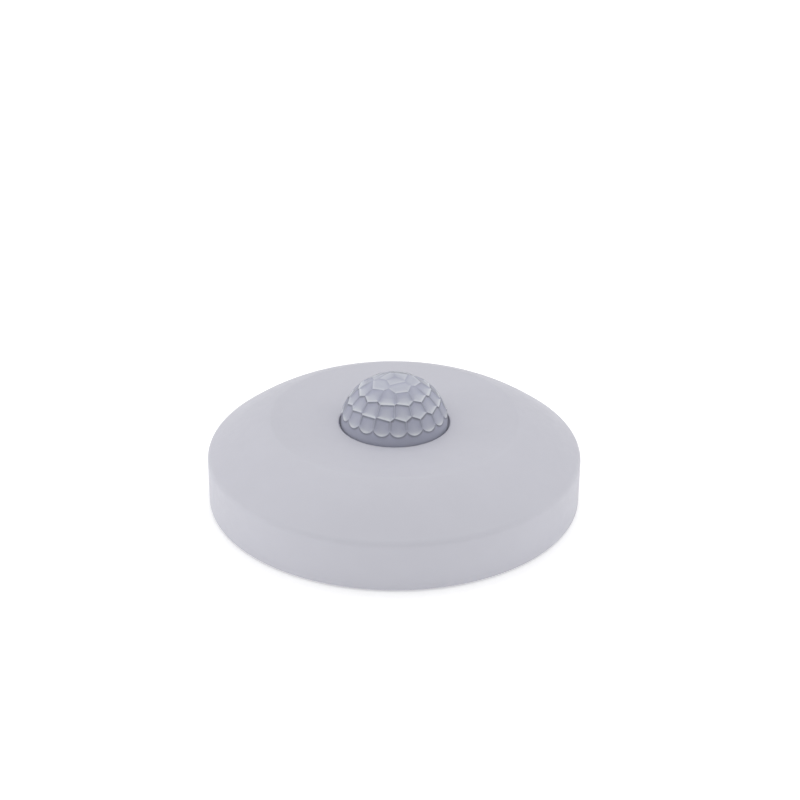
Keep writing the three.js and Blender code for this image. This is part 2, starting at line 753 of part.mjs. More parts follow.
add("relay", relay(), FINISH.relay);
add("film_capacitor", filmCapacitor(), FINISH.filmCapacitor);
add("smoothing_capacitor", canCapacitor(-16.5, -17, 5, 12.5), FINISH.sleeve);
add("filter_capacitor", canCapacitor(-27, -21.5, 3.15, 8), FINISH.sleeve);
add("varistor", varistor(), FINISH.varistor);
add("fuse", fuse(), FINISH.fuse);
add("bridge_rectifier", pinPackage(-14, 13, 8.4, 6.4, 3.2, 2, 5.1), FINISH.chip);
add("control_chip", pinPackage(8.5, -18, 19.3, 6.4, 3.4, 8, 2.54), FINISH.chip);
add("dropper_resistor", dropperResistor(), FINISH.resistor);
add("voltage_regulator", transistor(15.5, 31), FINISH.chip);
add("relay_transistor", transistor(23, 31), FINISH.chip);

for (const { name, y } of ADJUSTERS) {
  add(`${name}_adjuster`, adjusterBody(y), FINISH.adjuster);
  add(`${name}_knob`, adjusterKnob(y), FINISH.knob);
}

add("sensor_tower", sensorTower(), FINISH.tower);
add("infrared_detector", infraredDetector(), FINISH.steel);
add("detector_window", detectorWindow(), FINISH.window);
add("light_sensor", lightSensor(), FINISH.lightSensor);
add("status_led", statusLed(), FINISH.led);

add("front_cover", frontCover(), FINISH.housing);
add("lens_dome", lensDome(), FINISH.lens);
add("lens_retainer", lensRetainer(), FINISH.housing);
RETAINER_ANGLES.forEach((angle, i) => {
  const [x, y] = onCircle(RETAINER_SCREW_RADIUS, angle);
  add(`retainer_screw_${i + 1}`, panScrew(x, y, RETAINER.bottom - 0.05, RETAINER_SCREW, -1), FINISH.steel);
});

export default sensor;
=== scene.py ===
"""Looks for the round ceiling motion sensor.

Every shape is built in millimetres and turned into metres when it becomes a piece. Each CAD node has a
finely made piece here that stands for it. The board's tracks, solder, print and small parts are added.
"""

import json
import math

import bmesh
import bpy
import numpy as np
from mathutils import Matrix, Vector


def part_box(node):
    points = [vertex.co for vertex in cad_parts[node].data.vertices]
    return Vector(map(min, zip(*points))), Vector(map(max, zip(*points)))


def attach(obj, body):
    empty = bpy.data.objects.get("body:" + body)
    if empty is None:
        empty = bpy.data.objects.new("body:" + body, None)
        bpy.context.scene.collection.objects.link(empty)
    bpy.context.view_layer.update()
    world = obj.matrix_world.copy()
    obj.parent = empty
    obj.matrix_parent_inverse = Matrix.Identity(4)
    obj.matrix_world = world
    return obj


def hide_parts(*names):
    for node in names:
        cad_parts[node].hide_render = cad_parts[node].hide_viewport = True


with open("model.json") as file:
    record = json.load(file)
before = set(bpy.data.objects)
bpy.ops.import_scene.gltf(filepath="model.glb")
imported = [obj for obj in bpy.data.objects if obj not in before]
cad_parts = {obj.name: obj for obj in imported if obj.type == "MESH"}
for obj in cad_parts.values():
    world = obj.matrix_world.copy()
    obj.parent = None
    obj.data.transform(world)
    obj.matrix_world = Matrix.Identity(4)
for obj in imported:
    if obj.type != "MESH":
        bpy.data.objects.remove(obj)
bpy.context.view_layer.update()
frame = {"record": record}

SCENE = bpy.context.scene
RECORD = frame["record"]
BODY_OF = {node: body for body, nodes in RECORD["behaviour"]["bodies"].items() for node in nodes}
SLOT_OF = {entry["node"]: entry["material_slot"] for entry in RECORD["subparts"]}

MM = 0.001
# Sides of the large round shapes, the middling ones and the small ones.
FINE, ROUND, SMALL = 256, 96, 40


def box_of(node):
    """A node's x0, y0, z0, x1, y1 and z1, in millimetres."""
    low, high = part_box(node)
    return [round(float(value) / MM, 3) for value in (*low, *high)]


def middle_of(node):
    """The x and y of the middle of a node's box."""
    x0, y0, _, x1, y1, _ = box_of(node)
    return round((x0 + x1) / 2, 3), round((y0 + y1) / 2, 3)


# ---- shapes, in millimetres ----


def linked(data, name="shape"):
    """A new object in the scene for a mesh, curve, light or camera."""
    obj = bpy.data.objects.new(name, data)
    SCENE.collection.objects.link(obj)
    return obj


def edited(obj, change):
    """The same object, after a function has changed its mesh."""
    shape = bmesh.new()
    shape.from_mesh(obj.data)
    change(shape)
    shape.to_mesh(obj.data)
    shape.free()
    return obj


def evaluated(obj):
    """The mesh that an object's modifiers or curve settings make."""
    graph = bpy.context.evaluated_depsgraph_get()
    return bpy.data.meshes.new_from_object(obj.evaluated_get(graph), depsgraph=graph)


def moved(obj, angle=0.0, axis="Z", place=(0, 0, 0)):
    """Turns a shape by degrees about an axis through the origin, then moves it."""
    obj.data.transform(Matrix.Translation(place) @ Matrix.Rotation(math.radians(angle), 4, axis))
    return obj


def face_out(shape):
    bmesh.ops.recalc_face_normals(shape, faces=shape.faces)


def made(vertices, faces):
    mesh = bpy.data.meshes.new("shape")
    mesh.from_pydata(vertices, [], faces)
    return edited(linked(mesh), face_out)


def skin_over(rings):
    """A closed skin over rings of points. Rings have equal counts, or one point on the axis."""
    vertices = []
    numbers = []
    for ring in rings:
        numbers.append(list(range(len(vertices), len(vertices) + len(ring))))
        vertices += ring
    pairs = list(zip(numbers, numbers[1:]))
    if len(rings[0]) > 1:
        pairs.append((numbers[-1], numbers[0]))
    segments = max(len(ring) for ring in rings)
    faces = []
    for one, other in pairs:
        for s in range(segments):
            n = (s + 1) % segments
            corners = [one[s % len(one)], one[n % len(one)], other[n % len(other)], other[s % len(other)]]
            face = list(dict.fromkeys(corners))
            if len(face) > 2:
                faces.append(face)
    return made(vertices, faces)


def lathe(profile, segments=ROUND, x=0.0, y=0.0):
    """(radius, z) pairs turned about an upright axis, which start and end on it or close on themselves."""
    turns = [2 * math.pi * s / segments for s in range(segments)]
    rings = []
    for radius, z in profile:
        around = turns if radius > 1e-9 else turns[:1]
        rings.append([(x + radius * math.cos(a), y + radius * math.sin(a), z) for a in around])
    return skin_over(rings)


PLACE = {
    "X": lambda u, v, w: (w, u, v),
    "Y": lambda u, v, w: (u, w, v),
    "Z": lambda u, v, w: (u, v, w),
}


def prism(outline, low, high, axis="Z"):
    """A flat outline drawn across an axis and run along it from low to high."""
    place = PLACE[axis]
    count = len(outline)
    vertices = [place(u, v, low) for u, v in outline] + [place(u, v, high) for u, v in outline]
    faces = [list(range(count)), list(range(count, 2 * count))]
    faces += [[i, (i + 1) % count, count + (i + 1) % count, count + i] for i in range(count)]
    return made(vertices, faces)


def arc(radius, start, end, steps, x=0.0, y=0.0):
    """Points on an arc between two angles in degrees."""
    angles = [math.radians(start + (end - start) * i / steps) for i in range(steps + 1)]
    return [(x + radius * math.cos(a), y + radius * math.sin(a)) for a in angles]


def rounded_rectangle(x0, x1, y0, y1, corner, steps=6):
    left, right, front, back = x0 + corner, x1 - corner, y0 + corner, y1 - corner
    quarters = ((-90, right, front), (0, right, back), (90, left, back), (180, left, front))
    return [point for start, x, y in quarters for point in arc(corner, start, start + 90, steps, x, y)]


def about(x, y, half_x, half_y):
    """The x0, x1, y0 and y1 of a rectangle about a point."""
    return x - half_x, x + half_x, y - half_y, y + half_y


def block(x0, x1, y0, y1, z0, z1, edge=0.0, steps=3):
    """A box, with its edges rounded if an edge radius is given."""
    def round_edges(shape):
        bmesh.ops.bevel(shape, geom=shape.edges[:], offset=edge, segments=steps, profile=0.5, affect="EDGES")

    obj = prism([(x0, y0), (x1, y0), (x1, y1), (x0, y1)], z0, z1)
    return edited(obj, round_edges) if edge else obj


def post(x, y, radius, z0, z1, segments=SMALL, edge=0.0):
    """An upright cylinder, with a chamfer at both ends if an edge is given."""
    side = [(radius - edge, z0), (radius, z0 + edge), (radius, z1 - edge), (radius - edge, z1)]
    return lathe(list(dict.fromkeys([(0, z0), *side, (0, z1)])), segments, x, y)


def washer(x, y, inner, outer, z0, z1, segments=SMALL):
    return lathe([(inner, z0), (outer, z0), (outer, z1), (inner, z1)], segments, x, y)


def ring_piece(inner, outer, angle, span, z0, z1, steps=24):
    outline = arc(outer, angle - span / 2, angle + span / 2, steps)
    outline += arc(inner, angle + span / 2, angle - span / 2, steps)
    return prism(outline, z0, z1)


def weld(shape):
    bmesh.ops.remove_doubles(shape, verts=shape.verts, dist=1e-5)
    face_out(shape)


def lead(points, radius):
    """A round wire through the points, with its bends rounded."""
    curve = bpy.data.curves.new("lead", "CURVE")
    curve.dimensions = "3D"
    curve.bevel_depth = radius
    curve.bevel_resolution = 3
    curve.use_fill_caps = True
    spline = curve.splines.new("POLY")
    path = [Vector(points[0])]
    for before, corner, after in zip(points, points[1:], points[2:]):
        before, corner, after = Vector(before), Vector(corner), Vector(after)
        turn = min(2.2 * radius, (corner - before).length / 2, (after - corner).length / 2)
        start = corner + (before - corner).normalized() * turn
        end = corner + (after - corner).normalized() * turn
        for i in range(5):
            t = i / 4
            path.append(start * (1 - t) ** 2 + corner * 2 * t * (1 - t) + end * t ** 2)
    path.append(Vector(points[-1]))
    spline.points.add(len(path) - 1)
    for point, place in zip(spline.points, path):
        point.co = (*place, 1)
    holder = linked(curve)
    mesh = evaluated(holder)
    bpy.data.objects.remove(holder)
    return edited(linked(mesh), weld)


def combine(obj, tools, operation="UNION"):
    """Joins tools to obj, or cuts them from it, one after another."""
    for tool in tools:
        modifier = obj.modifiers.new("combine", "BOOLEAN")
        modifier.operation = operation
        modifier.solver = "EXACT"
        modifier.object = tool
    mesh = evaluated(obj)
    obj.modifiers.clear()
    obj.data = mesh
    for tool in tools:
        bpy.data.objects.remove(tool)
    return obj


def cut(obj, *tools):
    return combine(obj, tools, "DIFFERENCE")


def join(obj, *tools):
    return combine(obj, tools, "UNION")


def gather(objects):
    """Several separate closed bodies as one object."""
    shape = bmesh.new()
    for obj in objects:
        shape.from_mesh(obj.data)
    mesh = bpy.data.meshes.new("shape")
    shape.to_mesh(mesh)
    shape.free()
    for obj in objects:
        bpy.data.objects.remove(obj)
    return linked(mesh)


def bend(profile, control, end, steps):
    """Carries a profile on to an end along a quadratic curve."""
    corners = list(zip(profile[-1], control, end))
    for t in [i / steps for i in range(1, steps + 1)]:
        profile.append(tuple(a * (1 - t) ** 2 + b * 2 * t * (1 - t) + c * t * t for a, b, c in corners))


# ---- pieces ----


def as_piece(obj, name, body, slot, materials, soften=0.0, smooth_angle=35.0):
    """Names a finished shape, brings it to metres, gives it its finish and its body."""
    obj.data.transform(Matrix.Scale(MM, 4))
    obj.name = name
    obj.data.name = name
    obj.data.materials.clear()
    for material in materials if isinstance(materials, (list, tuple)) else [materials]:
        obj.data.materials.append(material)
    if soften:
        bevel = obj.modifiers.new("edges", "BEVEL")
        bevel.width = soften * MM
        bevel.segments = 2
        bevel.limit_method = "ANGLE"
        bevel.angle_limit = math.radians(40)
    obj.data.shade_smooth()
    obj.data.set_sharp_from_angle(angle=math.radians(smooth_angle))
    flat = obj.modifiers.new("flat_faces", "WEIGHTED_NORMAL")
    flat.keep_sharp = True
    flat.weight = 90
    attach(obj, body)
    return obj


def stands_for(obj, node, materials, soften=0.0, smooth_angle=35.0):
    """A finely made piece in place of a CAD node, on the node's body."""
    as_piece(obj, f"{node}_fine", BODY_OF[node], SLOT_OF[node], materials, soften, smooth_angle)
    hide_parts(node)
    return obj


def on_base(objects, name, slot, material, soften=0.0):
    """A few shapes that belong to the base, as one extra piece."""
    return as_piece(gather(objects), name, "base", slot, material, soften)


# ---- finishes ----


class Nodes:
    """The node tree of a material or world under construction."""

    def __init__(self, owner):
        owner.use_nodes = True
        self.tree = owner.node_tree

    def put(self, socket, value):
        """Gives an input a value, or links another node's output to it."""
        if isinstance(value, bpy.types.NodeSocket):
            self.tree.links.new(value, socket)
        else:
            socket.default_value = value

    def fill(self, node, **values):
        for key, value in values.items():
            self.put(node.inputs[key.replace("_", " ")], value)

    def node(self, kind, **values):
        node = self.tree.nodes.new(f"ShaderNode{kind}")
        self.fill(node, **values)
        return node


class Finish(Nodes):
    """A material under construction. Lengths are in millimetres."""

    def __init__(self, name, roughness, metallic=0.0):
        self.material = bpy.data.materials.new(name)
        super().__init__(self.material)
        self.set(Metallic=metallic, Roughness=roughness)
        self.place = self.node("TexCoord").outputs["Object"]

    def set(self, **values):
        self.fill(self.tree.nodes["Principled BSDF"], **values)
        return self

    def noise(self, size, detail=3.0, stretch=(1, 1, 1)):
        """Noise with features of about this size, drawn out along an axis by a stretch above 1."""
        place = self.node("Mapping", Scale=[1 / s for s in stretch], Vector=self.place).outputs["Vector"]
        return self.node("TexNoise", Scale=1 / (size * MM), Detail=detail, Vector=place).outputs["Fac"]

    def ramp(self, factor, low, high, start=0.3, end=0.7):
        """A number or colour that goes from low to high as factor goes from start to end."""
        if isinstance(low, (int, float)):
            node = self.node("MapRange", From_Min=start, From_Max=end, To_Min=low, To_Max=high, Value=factor)
            return node.outputs["Result"]
        node = self.node("ValToRGB", Fac=factor)
        for element, position, color in zip(node.color_ramp.elements, (start, end), (low, high)):
            element.position = position
            element.color = (*color, 1)
        return node.outputs["Color"]

    def mix(self, factor, one, other):
        node = self.node("Mix", Factor=factor)
        node.data_type = "RGBA"
        for socket, value in zip(node.inputs[6:8], (one, other)):
            self.put(socket, (*value, 1) if isinstance(value, tuple) else value)
        return node.outputs[2]

    def bump(self, height, depth):
        return self.set(Normal=self.node("Bump", Distance=depth * MM, Height=height).outputs["Normal"])


def tint(color, factor):
    return tuple(min(1.0, c * factor) for c in color)


def moulded(name, color, roughness, grain=0.35, depth=0.02, mottle=0.05, **values):
    """Moulded plastic or resin: faint mottle, uneven gloss and a fine grain."""
    finish = Finish(name, roughness)
    finish.set(
        Base_Color=finish.ramp(finish.noise(9.0), tint(color, 1 - mottle), tint(color, 1 + mottle)),
        Roughness=finish.ramp(finish.noise(2.5), roughness * 0.85, min(1.0, roughness * 1.15)),
    )
    return finish.bump(finish.noise(grain, 2.0), depth).set(**values).material


def metal(name, color, roughness, stretch=(1, 1, 12), depth=0.004):
    """Plated or drawn metal: fine scratches along an axis and dull patches."""
    finish = Finish(name, roughness, 1.0)
    scratches = finish.noise(0.35, 4.0, stretch)
    finish.set(Base_Color=finish.ramp(finish.noise(3.0), tint(color, 0.9), tint(color, 1.04)),
               Roughness=finish.ramp(scratches, roughness * 0.7, roughness * 1.4))
    return finish.bump(scratches, depth).material


def board_finish(name, color):
    """Solder mask over woven glass cloth, whose weave shows faintly in the gloss and the colour."""
    finish = Finish(name, 0.32)
    pitch = 0.7
    waves = []
    for direction in ("X", "Y"):
        wave = finish.node("TexWave", Scale=0.314 / (pitch * MM), Distortion=0.6, Vector=finish.place)
        wave.bands_direction = direction
        waves.append(wave.outputs["Fac"])
    weave = finish.node("Math")
    weave.operation = "MULTIPLY"
    for socket, wave in zip(weave.inputs, waves):
        finish.put(socket, wave)
    woven = finish.ramp(weave.outputs[0], tint(color, 0.92), tint(color, 1.12), 0.0, 1.0)
    patchy = finish.ramp(finish.noise(8.0), tint(color, 0.85), tint(color, 1.15))
    finish.set(Base_Color=finish.mix(finish.noise(5.0), woven, patchy),
               Roughness=finish.ramp(finish.noise(3.0), 0.25, 0.42), Coat_Weight=0.3, Coat_Roughness=0.15)
    return finish.bump(weave.outputs[0], 0.01).material


def lens_finish(name, color):
    """Milky polyethylene, part see-through and part clouded, with a satin skin.

    A mesh attribute paints light on slopes that face up and paints shade on those that face down. Edge on,
    painted shade darkens it.
    """
    finish = Finish(name, 0.42)
    clouded = finish.ramp(finish.noise(6.0), tint(color, 0.97), tint(color, 1.03))
    attribute = finish.node("Attribute")
    attribute.attribute_name = "tilt"
    tilt = attribute.outputs["Fac"]
    # Colours for the painted light and the painted shade.
    light, dark = tint(color, 1.62), tint(color, 0.36)
    lit = finish.mix(finish.ramp(tilt, 0.0, 1.0, 0.04, 0.5), clouded, light)
    shaded = finish.mix(finish.ramp(tilt, 1.0, 0.0, -0.5, -0.04), lit, dark)
    # Painted shade where the skin is seen edge on.
    edge_on = finish.node("LayerWeight").outputs["Facing"]
    finish.set(Base_Color=finish.mix(finish.ramp(edge_on, 0.0, 1.0, 0.75, 0.95), shaded, dark),
               Roughness=finish.ramp(finish.noise(1.5), 0.36, 0.46),
               Transmission_Weight=0.42, IOR=1.35, Specular_IOR_Level=0.45)
    return finish.bump(finish.noise(0.5, 2.0), 0.01).material


HOUSING = moulded("housing_plastic", (0.53, 0.53, 0.585), 0.5, 0.4, 0.004, 0.008, Specular_IOR_Level=0.35)
LENS = lens_finish("lens_plastic", (0.575, 0.59, 0.705))
RUBBER = moulded("rubber_black", (0.022, 0.022, 0.024), 0.72, 0.3, 0.02, 0.2)
TERMINAL = moulded("terminal_green", (0.06, 0.27, 0.125), 0.45, 0.3, 0.01, 0.06)
RELAY = moulded("relay_case", (0.016, 0.018, 0.022), 0.36, 0.5, 0.008, 0.2)
FILM = moulded("film_capacitor_case", (0.66, 0.4, 0.045), 0.4, 0.6, 0.012, 0.05)
VARISTOR = moulded("varistor_coating", (0.03, 0.14, 0.38), 0.34, 1.4, 0.05, 0.12)
FUSE = moulded("fuse_case", (0.13, 0.045, 0.02), 0.34, 0.5, 0.008, 0.1)
CHIP = moulded("chip_package", (0.022, 0.022, 0.024), 0.52, 0.18, 0.02, 0.15)
RESISTOR = moulded("resistor_coating", (0.24, 0.42, 0.52), 0.38, 1.0, 0.03, 0.06)
ADJUSTER_BLUE = moulded("adjuster_case", (0.03, 0.08, 0.26), 0.42, 0.35, 0.01, 0.08)
KNOB_WHITE = moulded("adjuster_knob", (0.82, 0.79, 0.7), 0.42, 0.35, 0.01, 0.03)
TOWER = moulded("tower_moulding", (0.018, 0.019, 0.021), 0.55, 0.35, 0.012, 0.15)
CERAMIC = moulded("capacitor_ceramic", (0.42, 0.27, 0.14), 0.5, 0.2, 0.006, 0.08)
STRIPE = moulded("printed_white", (0.78, 0.78, 0.74), 0.5, 0.3, 0.004, 0.04)
BAND_RED = moulded("band_red", (0.5, 0.03, 0.02), 0.4, 0.5, 0.008, 0.08)
BAND_GOLD = metal("band_gold", (0.62, 0.42, 0.12), 0.4)
STEEL = metal("plated_steel", (0.62, 0.63, 0.65), 0.28)
BRASS = metal("brass", (0.68, 0.5, 0.2), 0.3, (12, 1, 1))
TIN = metal("tinned_lead", (0.66, 0.66, 0.65), 0.34, (1, 1, 6))
SLEEVE = moulded("capacitor_sleeve", (0.016, 0.022, 0.04), 0.3, 0.8, 0.006, 0.15)
WINDOW = moulded("detector_filter", (0.02, 0.012, 0.016), 0.08, 0.9, 0.001, 0.3, Coat_Weight=0.6)
LED = moulded("led_resin", (0.5, 0.02, 0.015), 0.12, 0.9, 0.002, 0.1, Transmission_Weight=0.5)
ALUMINIUM = metal("aluminium_top", (0.74, 0.75, 0.77), 0.32, (8, 8, 1))
SOLDER = metal("solder", (0.6, 0.61, 0.62), 0.3, (1, 1, 1), 0.02)
GOLD = metal("can_plating", (0.7, 0.68, 0.6), 0.3, depth=0.0015)
BOARD = board_finish("solder_mask", (0.018, 0.13, 0.05))
TRACK = board_finish("mask_over_copper", (0.03, 0.2, 0.07))


# ---- front cover ----

RIM_RADIUS = 57.5
RIM_Z = 0.4
WALL_TOP_Z = 14.2
SHOULDER = (55.9, 16.6)
CREASE = (38.4, 26.4)
OPENING = (17.0, 24.95)
OPENING_EDGE = 0.5
SHELL = 2.1
COVER_UNDERSIDE = 24.1
LENS_SEAT = (20.0, 21.2, 22.7)
CATCHES = (90, 210, 330)
RIBS = (0, 45, 135, 180, 225, 315)
RETAINER_ANGLES = (30, 150, 270)
RETAINER_SCREWS_AT = 24
RETAINER_BOTTOM, RETAINER_TOP = 20.9, 22.4


def on_circle(radius, angle):
    return radius * math.cos(math.radians(angle)), radius * math.sin(math.radians(angle))


def cover_outside():
    """From the rim up the wall, over shoulder and flank to the crease, and down a little to the opening."""
    profile = [(RIM_RADIUS - 0.3, RIM_Z)]
    bend(profile, (RIM_RADIUS, RIM_Z), (RIM_RADIUS, RIM_Z + 0.3), 4)
    profile.append((RIM_RADIUS, WALL_TOP_Z))
    bend(profile, (RIM_RADIUS, 15.6), SHOULDER, 10)
    bend(profile, (47.3, 23.4), CREASE, 18)
    profile.pop()
    radius, level = OPENING
    dip = (CREASE[1] - level) / (CREASE[0] - radius - OPENING_EDGE)
    bend(profile, CREASE, (CREASE[0] - 0.7, CREASE[1] - 0.7 * dip), 5)
    profile.append((radius + OPENING_EDGE, level))
    bend(profile, OPENING, (radius, level - OPENING_EDGE), 6)
    return profile


def cover_inside():
    """From the opening over the lip round the lens's flange, and down the flank and wall to the rim."""
    under = COVER_UNDERSIDE
    lip_inner, lip_outer, lip_bottom = LENS_SEAT
    return [
        (OPENING[0], under), (lip_inner, under), (lip_inner, lip_bottom), (lip_outer, lip_bottom),
        (lip_outer, under), (CREASE[0] - 0.7, CREASE[1] - SHELL), (46.2, 20.3),
        (SHOULDER[0] - 1.7, SHOULDER[1] - 1.4), (RIM_RADIUS - SHELL, WALL_TOP_Z - 0.5),
        (RIM_RADIUS - SHELL, RIM_Z),
    ]


def cover_rib(angle):
    """A rib under the flank, following the inside from the boss circle to the wall."""
    against_shell = [(28, 25), (38, 25), (46.5, 21.3), (54.4, 15.6), (55.8, 12), (55.8, 9.5)]
    free_edge = [(54.2, 9.5), (53.2, 12.6), (45.6, 18.4), (37.2, 22.4), (28, 22.4)]
    return moved(prism(against_shell + free_edge, -0.6, 0.6, "Y"), angle)


def front_cover():
    shell = lathe(cover_outside() + cover_inside(), FINE)
    places = [on_circle(RETAINER_SCREWS_AT, angle) for angle in RETAINER_ANGLES]
    bosses = [post(x, y, 2.7, 22.6, 24.6) for x, y in places]
    pilots = [post(x, y, 1.25, 21.6, 24.6, 24) for x, y in places]
    beads = [ring_piece(54.5, 55.9, angle, 26, 4.6, 6.0) for angle in CATCHES]
    shell = join(shell, *[cover_rib(angle) for angle in RIBS], *bosses, *beads)
    shell = cut(shell, *pilots, block(-4, 4, 50.4, 58.5, 0, 1.8))
    stands_for(shell, "front_cover", HOUSING, smooth_angle=28)


# ---- lens ----

LENS_RADIUS = 16.8
LENS_CENTRE_Z = 23.2
LENS_INSIDE = 16.0
LENS_FLANGE = (19.6, 22.5, 23.9)
# Each row of cells: its latitude, how many, the first one's azimuth and the step between them, in degrees.
CELL_ROWS = (
    (25.0, 19, 4.5, 18.95),
    (41.0, 16, 11.25, 22.5),
    (56.7, 12, 17.4, 30.0),
    (71.0, 5, 18.0, 72.0),
    (84.0, 3, 3.0, 120.0),
)
SCALLOP = 9.2
CREST, TOP_CREST = 0.12, -0.02
FULL_RELIEF, TOP_RELIEF = 1.0, 0.36
EDGE_DEPTH, EDGE_WIDTH = 0.28, 0.4
DISH_DEPTH, DISH_RADIUS = 0.24, 3.3
LENS_AROUND, LENS_UP = 480, 150
# How much painted shade upright crests get, and how much painted light the top of the lens gets.
UPRIGHT_SHADE = 0.68
CROWN_LIGHT = 0.24


def direction(latitude, azimuth):
    """Unit vector for degrees above the lens's middle plane and degrees to the right of its front."""
    up, turn = math.radians(latitude), math.radians(azimuth)
    return (math.cos(up) * math.sin(turn), -math.cos(up) * math.cos(turn), math.sin(up))


def lens_relief(points):
    """How far the outer skin stands out at each unit vector.

    The cells are shallow dishes that meet in sharp crests. They grow shallower towards the top, and the
    lowest row ends in scallops above a plain band.
    """
    centres = np.array([direction(row, first + step * k) for row, count, first, step in CELL_ROWS
                        for k in range(count)])
    distances = LENS_RADIUS * np.linalg.norm(points[:, None, :] - centres[None, :, :], axis=2)
    order = np.argsort(distances, axis=1)
    rows = np.arange(len(points))
    near, second = distances[rows, order[:, 0]], distances[rows, order[:, 1]]
    apart = LENS_RADIUS * np.linalg.norm(centres[order[:, 0]] - centres[order[:, 1]], axis=1)
    border = (second ** 2 - near ** 2) / (2 * apart)
    below = points[:, 2] < math.sin(math.radians(CELL_ROWS[0][0]))
    scallop = 2 * LENS_RADIUS * math.sin(math.radians(SCALLOP / 2)) - near
    border = np.where(below, np.where(scallop < 0, -scallop, np.minimum(border, scallop)), border)
    crest = np.exp(-border / EDGE_WIDTH)
    dish = DISH_DEPTH * np.clip(1 - (near / DISH_RADIUS) ** 2, 0, 1)
    dish[below & (scallop < 0)] = 0
    third_row, top_rows = [math.sin(math.radians(CELL_ROWS[row][0])) for row in (2, 3)]
    relief = np.interp(points[:, 2], [third_row, top_rows], [FULL_RELIEF, TOP_RELIEF])
    crest_height = np.interp(points[:, 2], [third_row, top_rows], [CREST, TOP_CREST])
    return crest_height - (EDGE_DEPTH * (1 - crest) + dish) * relief


def lens_painted_shading(height, latitudes):
    """Painted light and shade for each point of the skin, from the top ring down.

    Slopes that face up get painted light, those that face down and upright crests get painted shade, and the
    top gets more painted light.
    """
    up = np.radians(np.array(latitudes))[:, None]
    rise = np.gradient(height, axis=0) / (LENS_RADIUS * (up[1] - up[0]))
    across = np.gradient(np.pad(height, ((0, 0), (1, 1)), mode="wrap"), axis=1)[:, 1:-1]
    across /= LENS_RADIUS * np.cos(up) * math.radians(360 / LENS_AROUND)
    tilt = CROWN_LIGHT * np.sin(up) - rise - UPRIGHT_SHADE * np.abs(across)
    tilt *= np.clip((90 - np.degrees(up)) / 4, 0, 1)
    return tilt[::-1].ravel()


def lens_dome():
    lowest = math.degrees(math.asin((LENS_FLANGE[2] - LENS_CENTRE_Z) / LENS_RADIUS))
    latitudes = [lowest + (89.6 - lowest) * i / LENS_UP for i in range(LENS_UP + 1)]
    around = [360 * s / LENS_AROUND for s in range(LENS_AROUND)]
    units = np.array([direction(latitude, azimuth) for latitude in latitudes for azimuth in around])
    units = np.vstack([units, [direction(90, 0)]])
    height = lens_relief(units)
    skin = units * (LENS_RADIUS + height)[:, None] + np.array([0, 0, LENS_CENTRE_Z])
    rings = [[tuple(point) for point in ring] for ring in skin[:-1].reshape(LENS_UP + 1, LENS_AROUND, 3)]
    rings = [[tuple(skin[-1])]] + rings[::-1]
    flange_radius, flange_bottom, flange_top = LENS_FLANGE
    inside = [(LENS_RADIUS + 0.1, flange_top), (flange_radius - 0.15, flange_top),
              (flange_radius, flange_top - 0.15), (flange_radius, flange_bottom),
              (LENS_INSIDE, flange_bottom)]
    inside += [(LENS_INSIDE * math.cos(a), LENS_CENTRE_Z + LENS_INSIDE * math.sin(a))
               for a in [math.radians(90 * i / 30) for i in range(30)]]
    turns = [math.radians(azimuth) for azimuth in around]
    for radius, z in inside:
        rings.append([(radius * math.sin(turn), -radius * math.cos(turn), z) for turn in turns])
    rings.append([(0, 0, LENS_CENTRE_Z + LENS_INSIDE)])
    lens = skin_over(rings)
    # Painted light and shade, stored on the mesh for the lens's material to read.
    tilt = np.zeros(len(lens.data.vertices), dtype=np.float32)
    tilt[1:1 + len(height[:-1])] = lens_painted_shading(height[:-1].reshape(LENS_UP + 1, LENS_AROUND), latitudes)
    lens.data.attributes.new("tilt", "FLOAT", "POINT").data.foreach_set("value", tilt)
    stands_for(lens, "lens_dome", LENS, smooth_angle=50)


def lens_retainer():
    """A ring with three ears, screwed up against the lens's flange."""
    low, high = RETAINER_BOTTOM, RETAINER_TOP
    ring = post(0, 0, 21.0, low, high, FINE, 0.25)
    places = [on_circle(RETAINER_SCREWS_AT, angle) for angle in RETAINER_ANGLES]
    ears = [post(x, y, 3.3, low, high, SMALL, 0.2) for x, y in places]
    holes = [post(0, 0, 15.4, low - 1, high + 1, ROUND)]
    holes += [post(x, y, 1.4, low - 1, high + 1, 24) for x, y in places]
    stands_for(cut(join(ring, *ears), *holes), "lens_retainer", HOUSING)


def cross_recess(x, y, seat, way, head_radius, head_height):
    """A tool for a cross recess whose arms narrow towards the bottom."""
    arm, slot = head_radius * 0.62, head_radius * 0.16
    tools = []
    for along in (0, 90):
        low, high = seat + way * head_height * 0.35, seat + way * (head_height + 0.6)
        tool = block(-arm, arm, -slot, slot, min(low, high), max(low, high))
        for vertex in tool.data.vertices:
            if abs(vertex.co.z - low) < 1e-6:
                vertex.co.x *= 0.62
                vertex.co.y *= 0.6
        tools.append(moved(tool, along, place=(x, y, 0)))
    return tools


def pan_screw(node, x, y, seat, head_radius, head_height, shank, length, way=1):
    """A pan head on a threaded shank, seen from above, or from below where way is -1."""
    root, turns = shank * 0.84, 7
    start, end = -length + shank, -0.3
    pitch = (end - start) / turns
    profile = [(0, -length), (shank * 0.4, -length)]
    for i in range(turns):
        level = start + pitch * i
        profile += [(root, level), (shank, level + pitch * 0.5)]
    profile += [(root, end), (shank, 0), (head_radius, 0), (head_radius, head_height * 0.45)]
    bend(profile, (head_radius, head_height * 0.95), (head_radius * 0.6, head_height), 7)
    profile.append((0, head_height))
    screw = lathe([(radius, seat + way * z) for radius, z in profile], SMALL, x, y)
    screw = cut(screw, *cross_recess(x, y, seat, way, head_radius, head_height))
    stands_for(screw, node, STEEL, smooth_angle=30)


front_cover()
lens_dome()
lens_retainer()
for i, angle in enumerate(RETAINER_ANGLES):
    pan_screw(f"retainer_screw_{i + 1}", *on_circle(RETAINER_SCREWS_AT, angle), 20.85, 2.3, 1.3, 1.0, 3.6, -1)


# ---- base plate ----

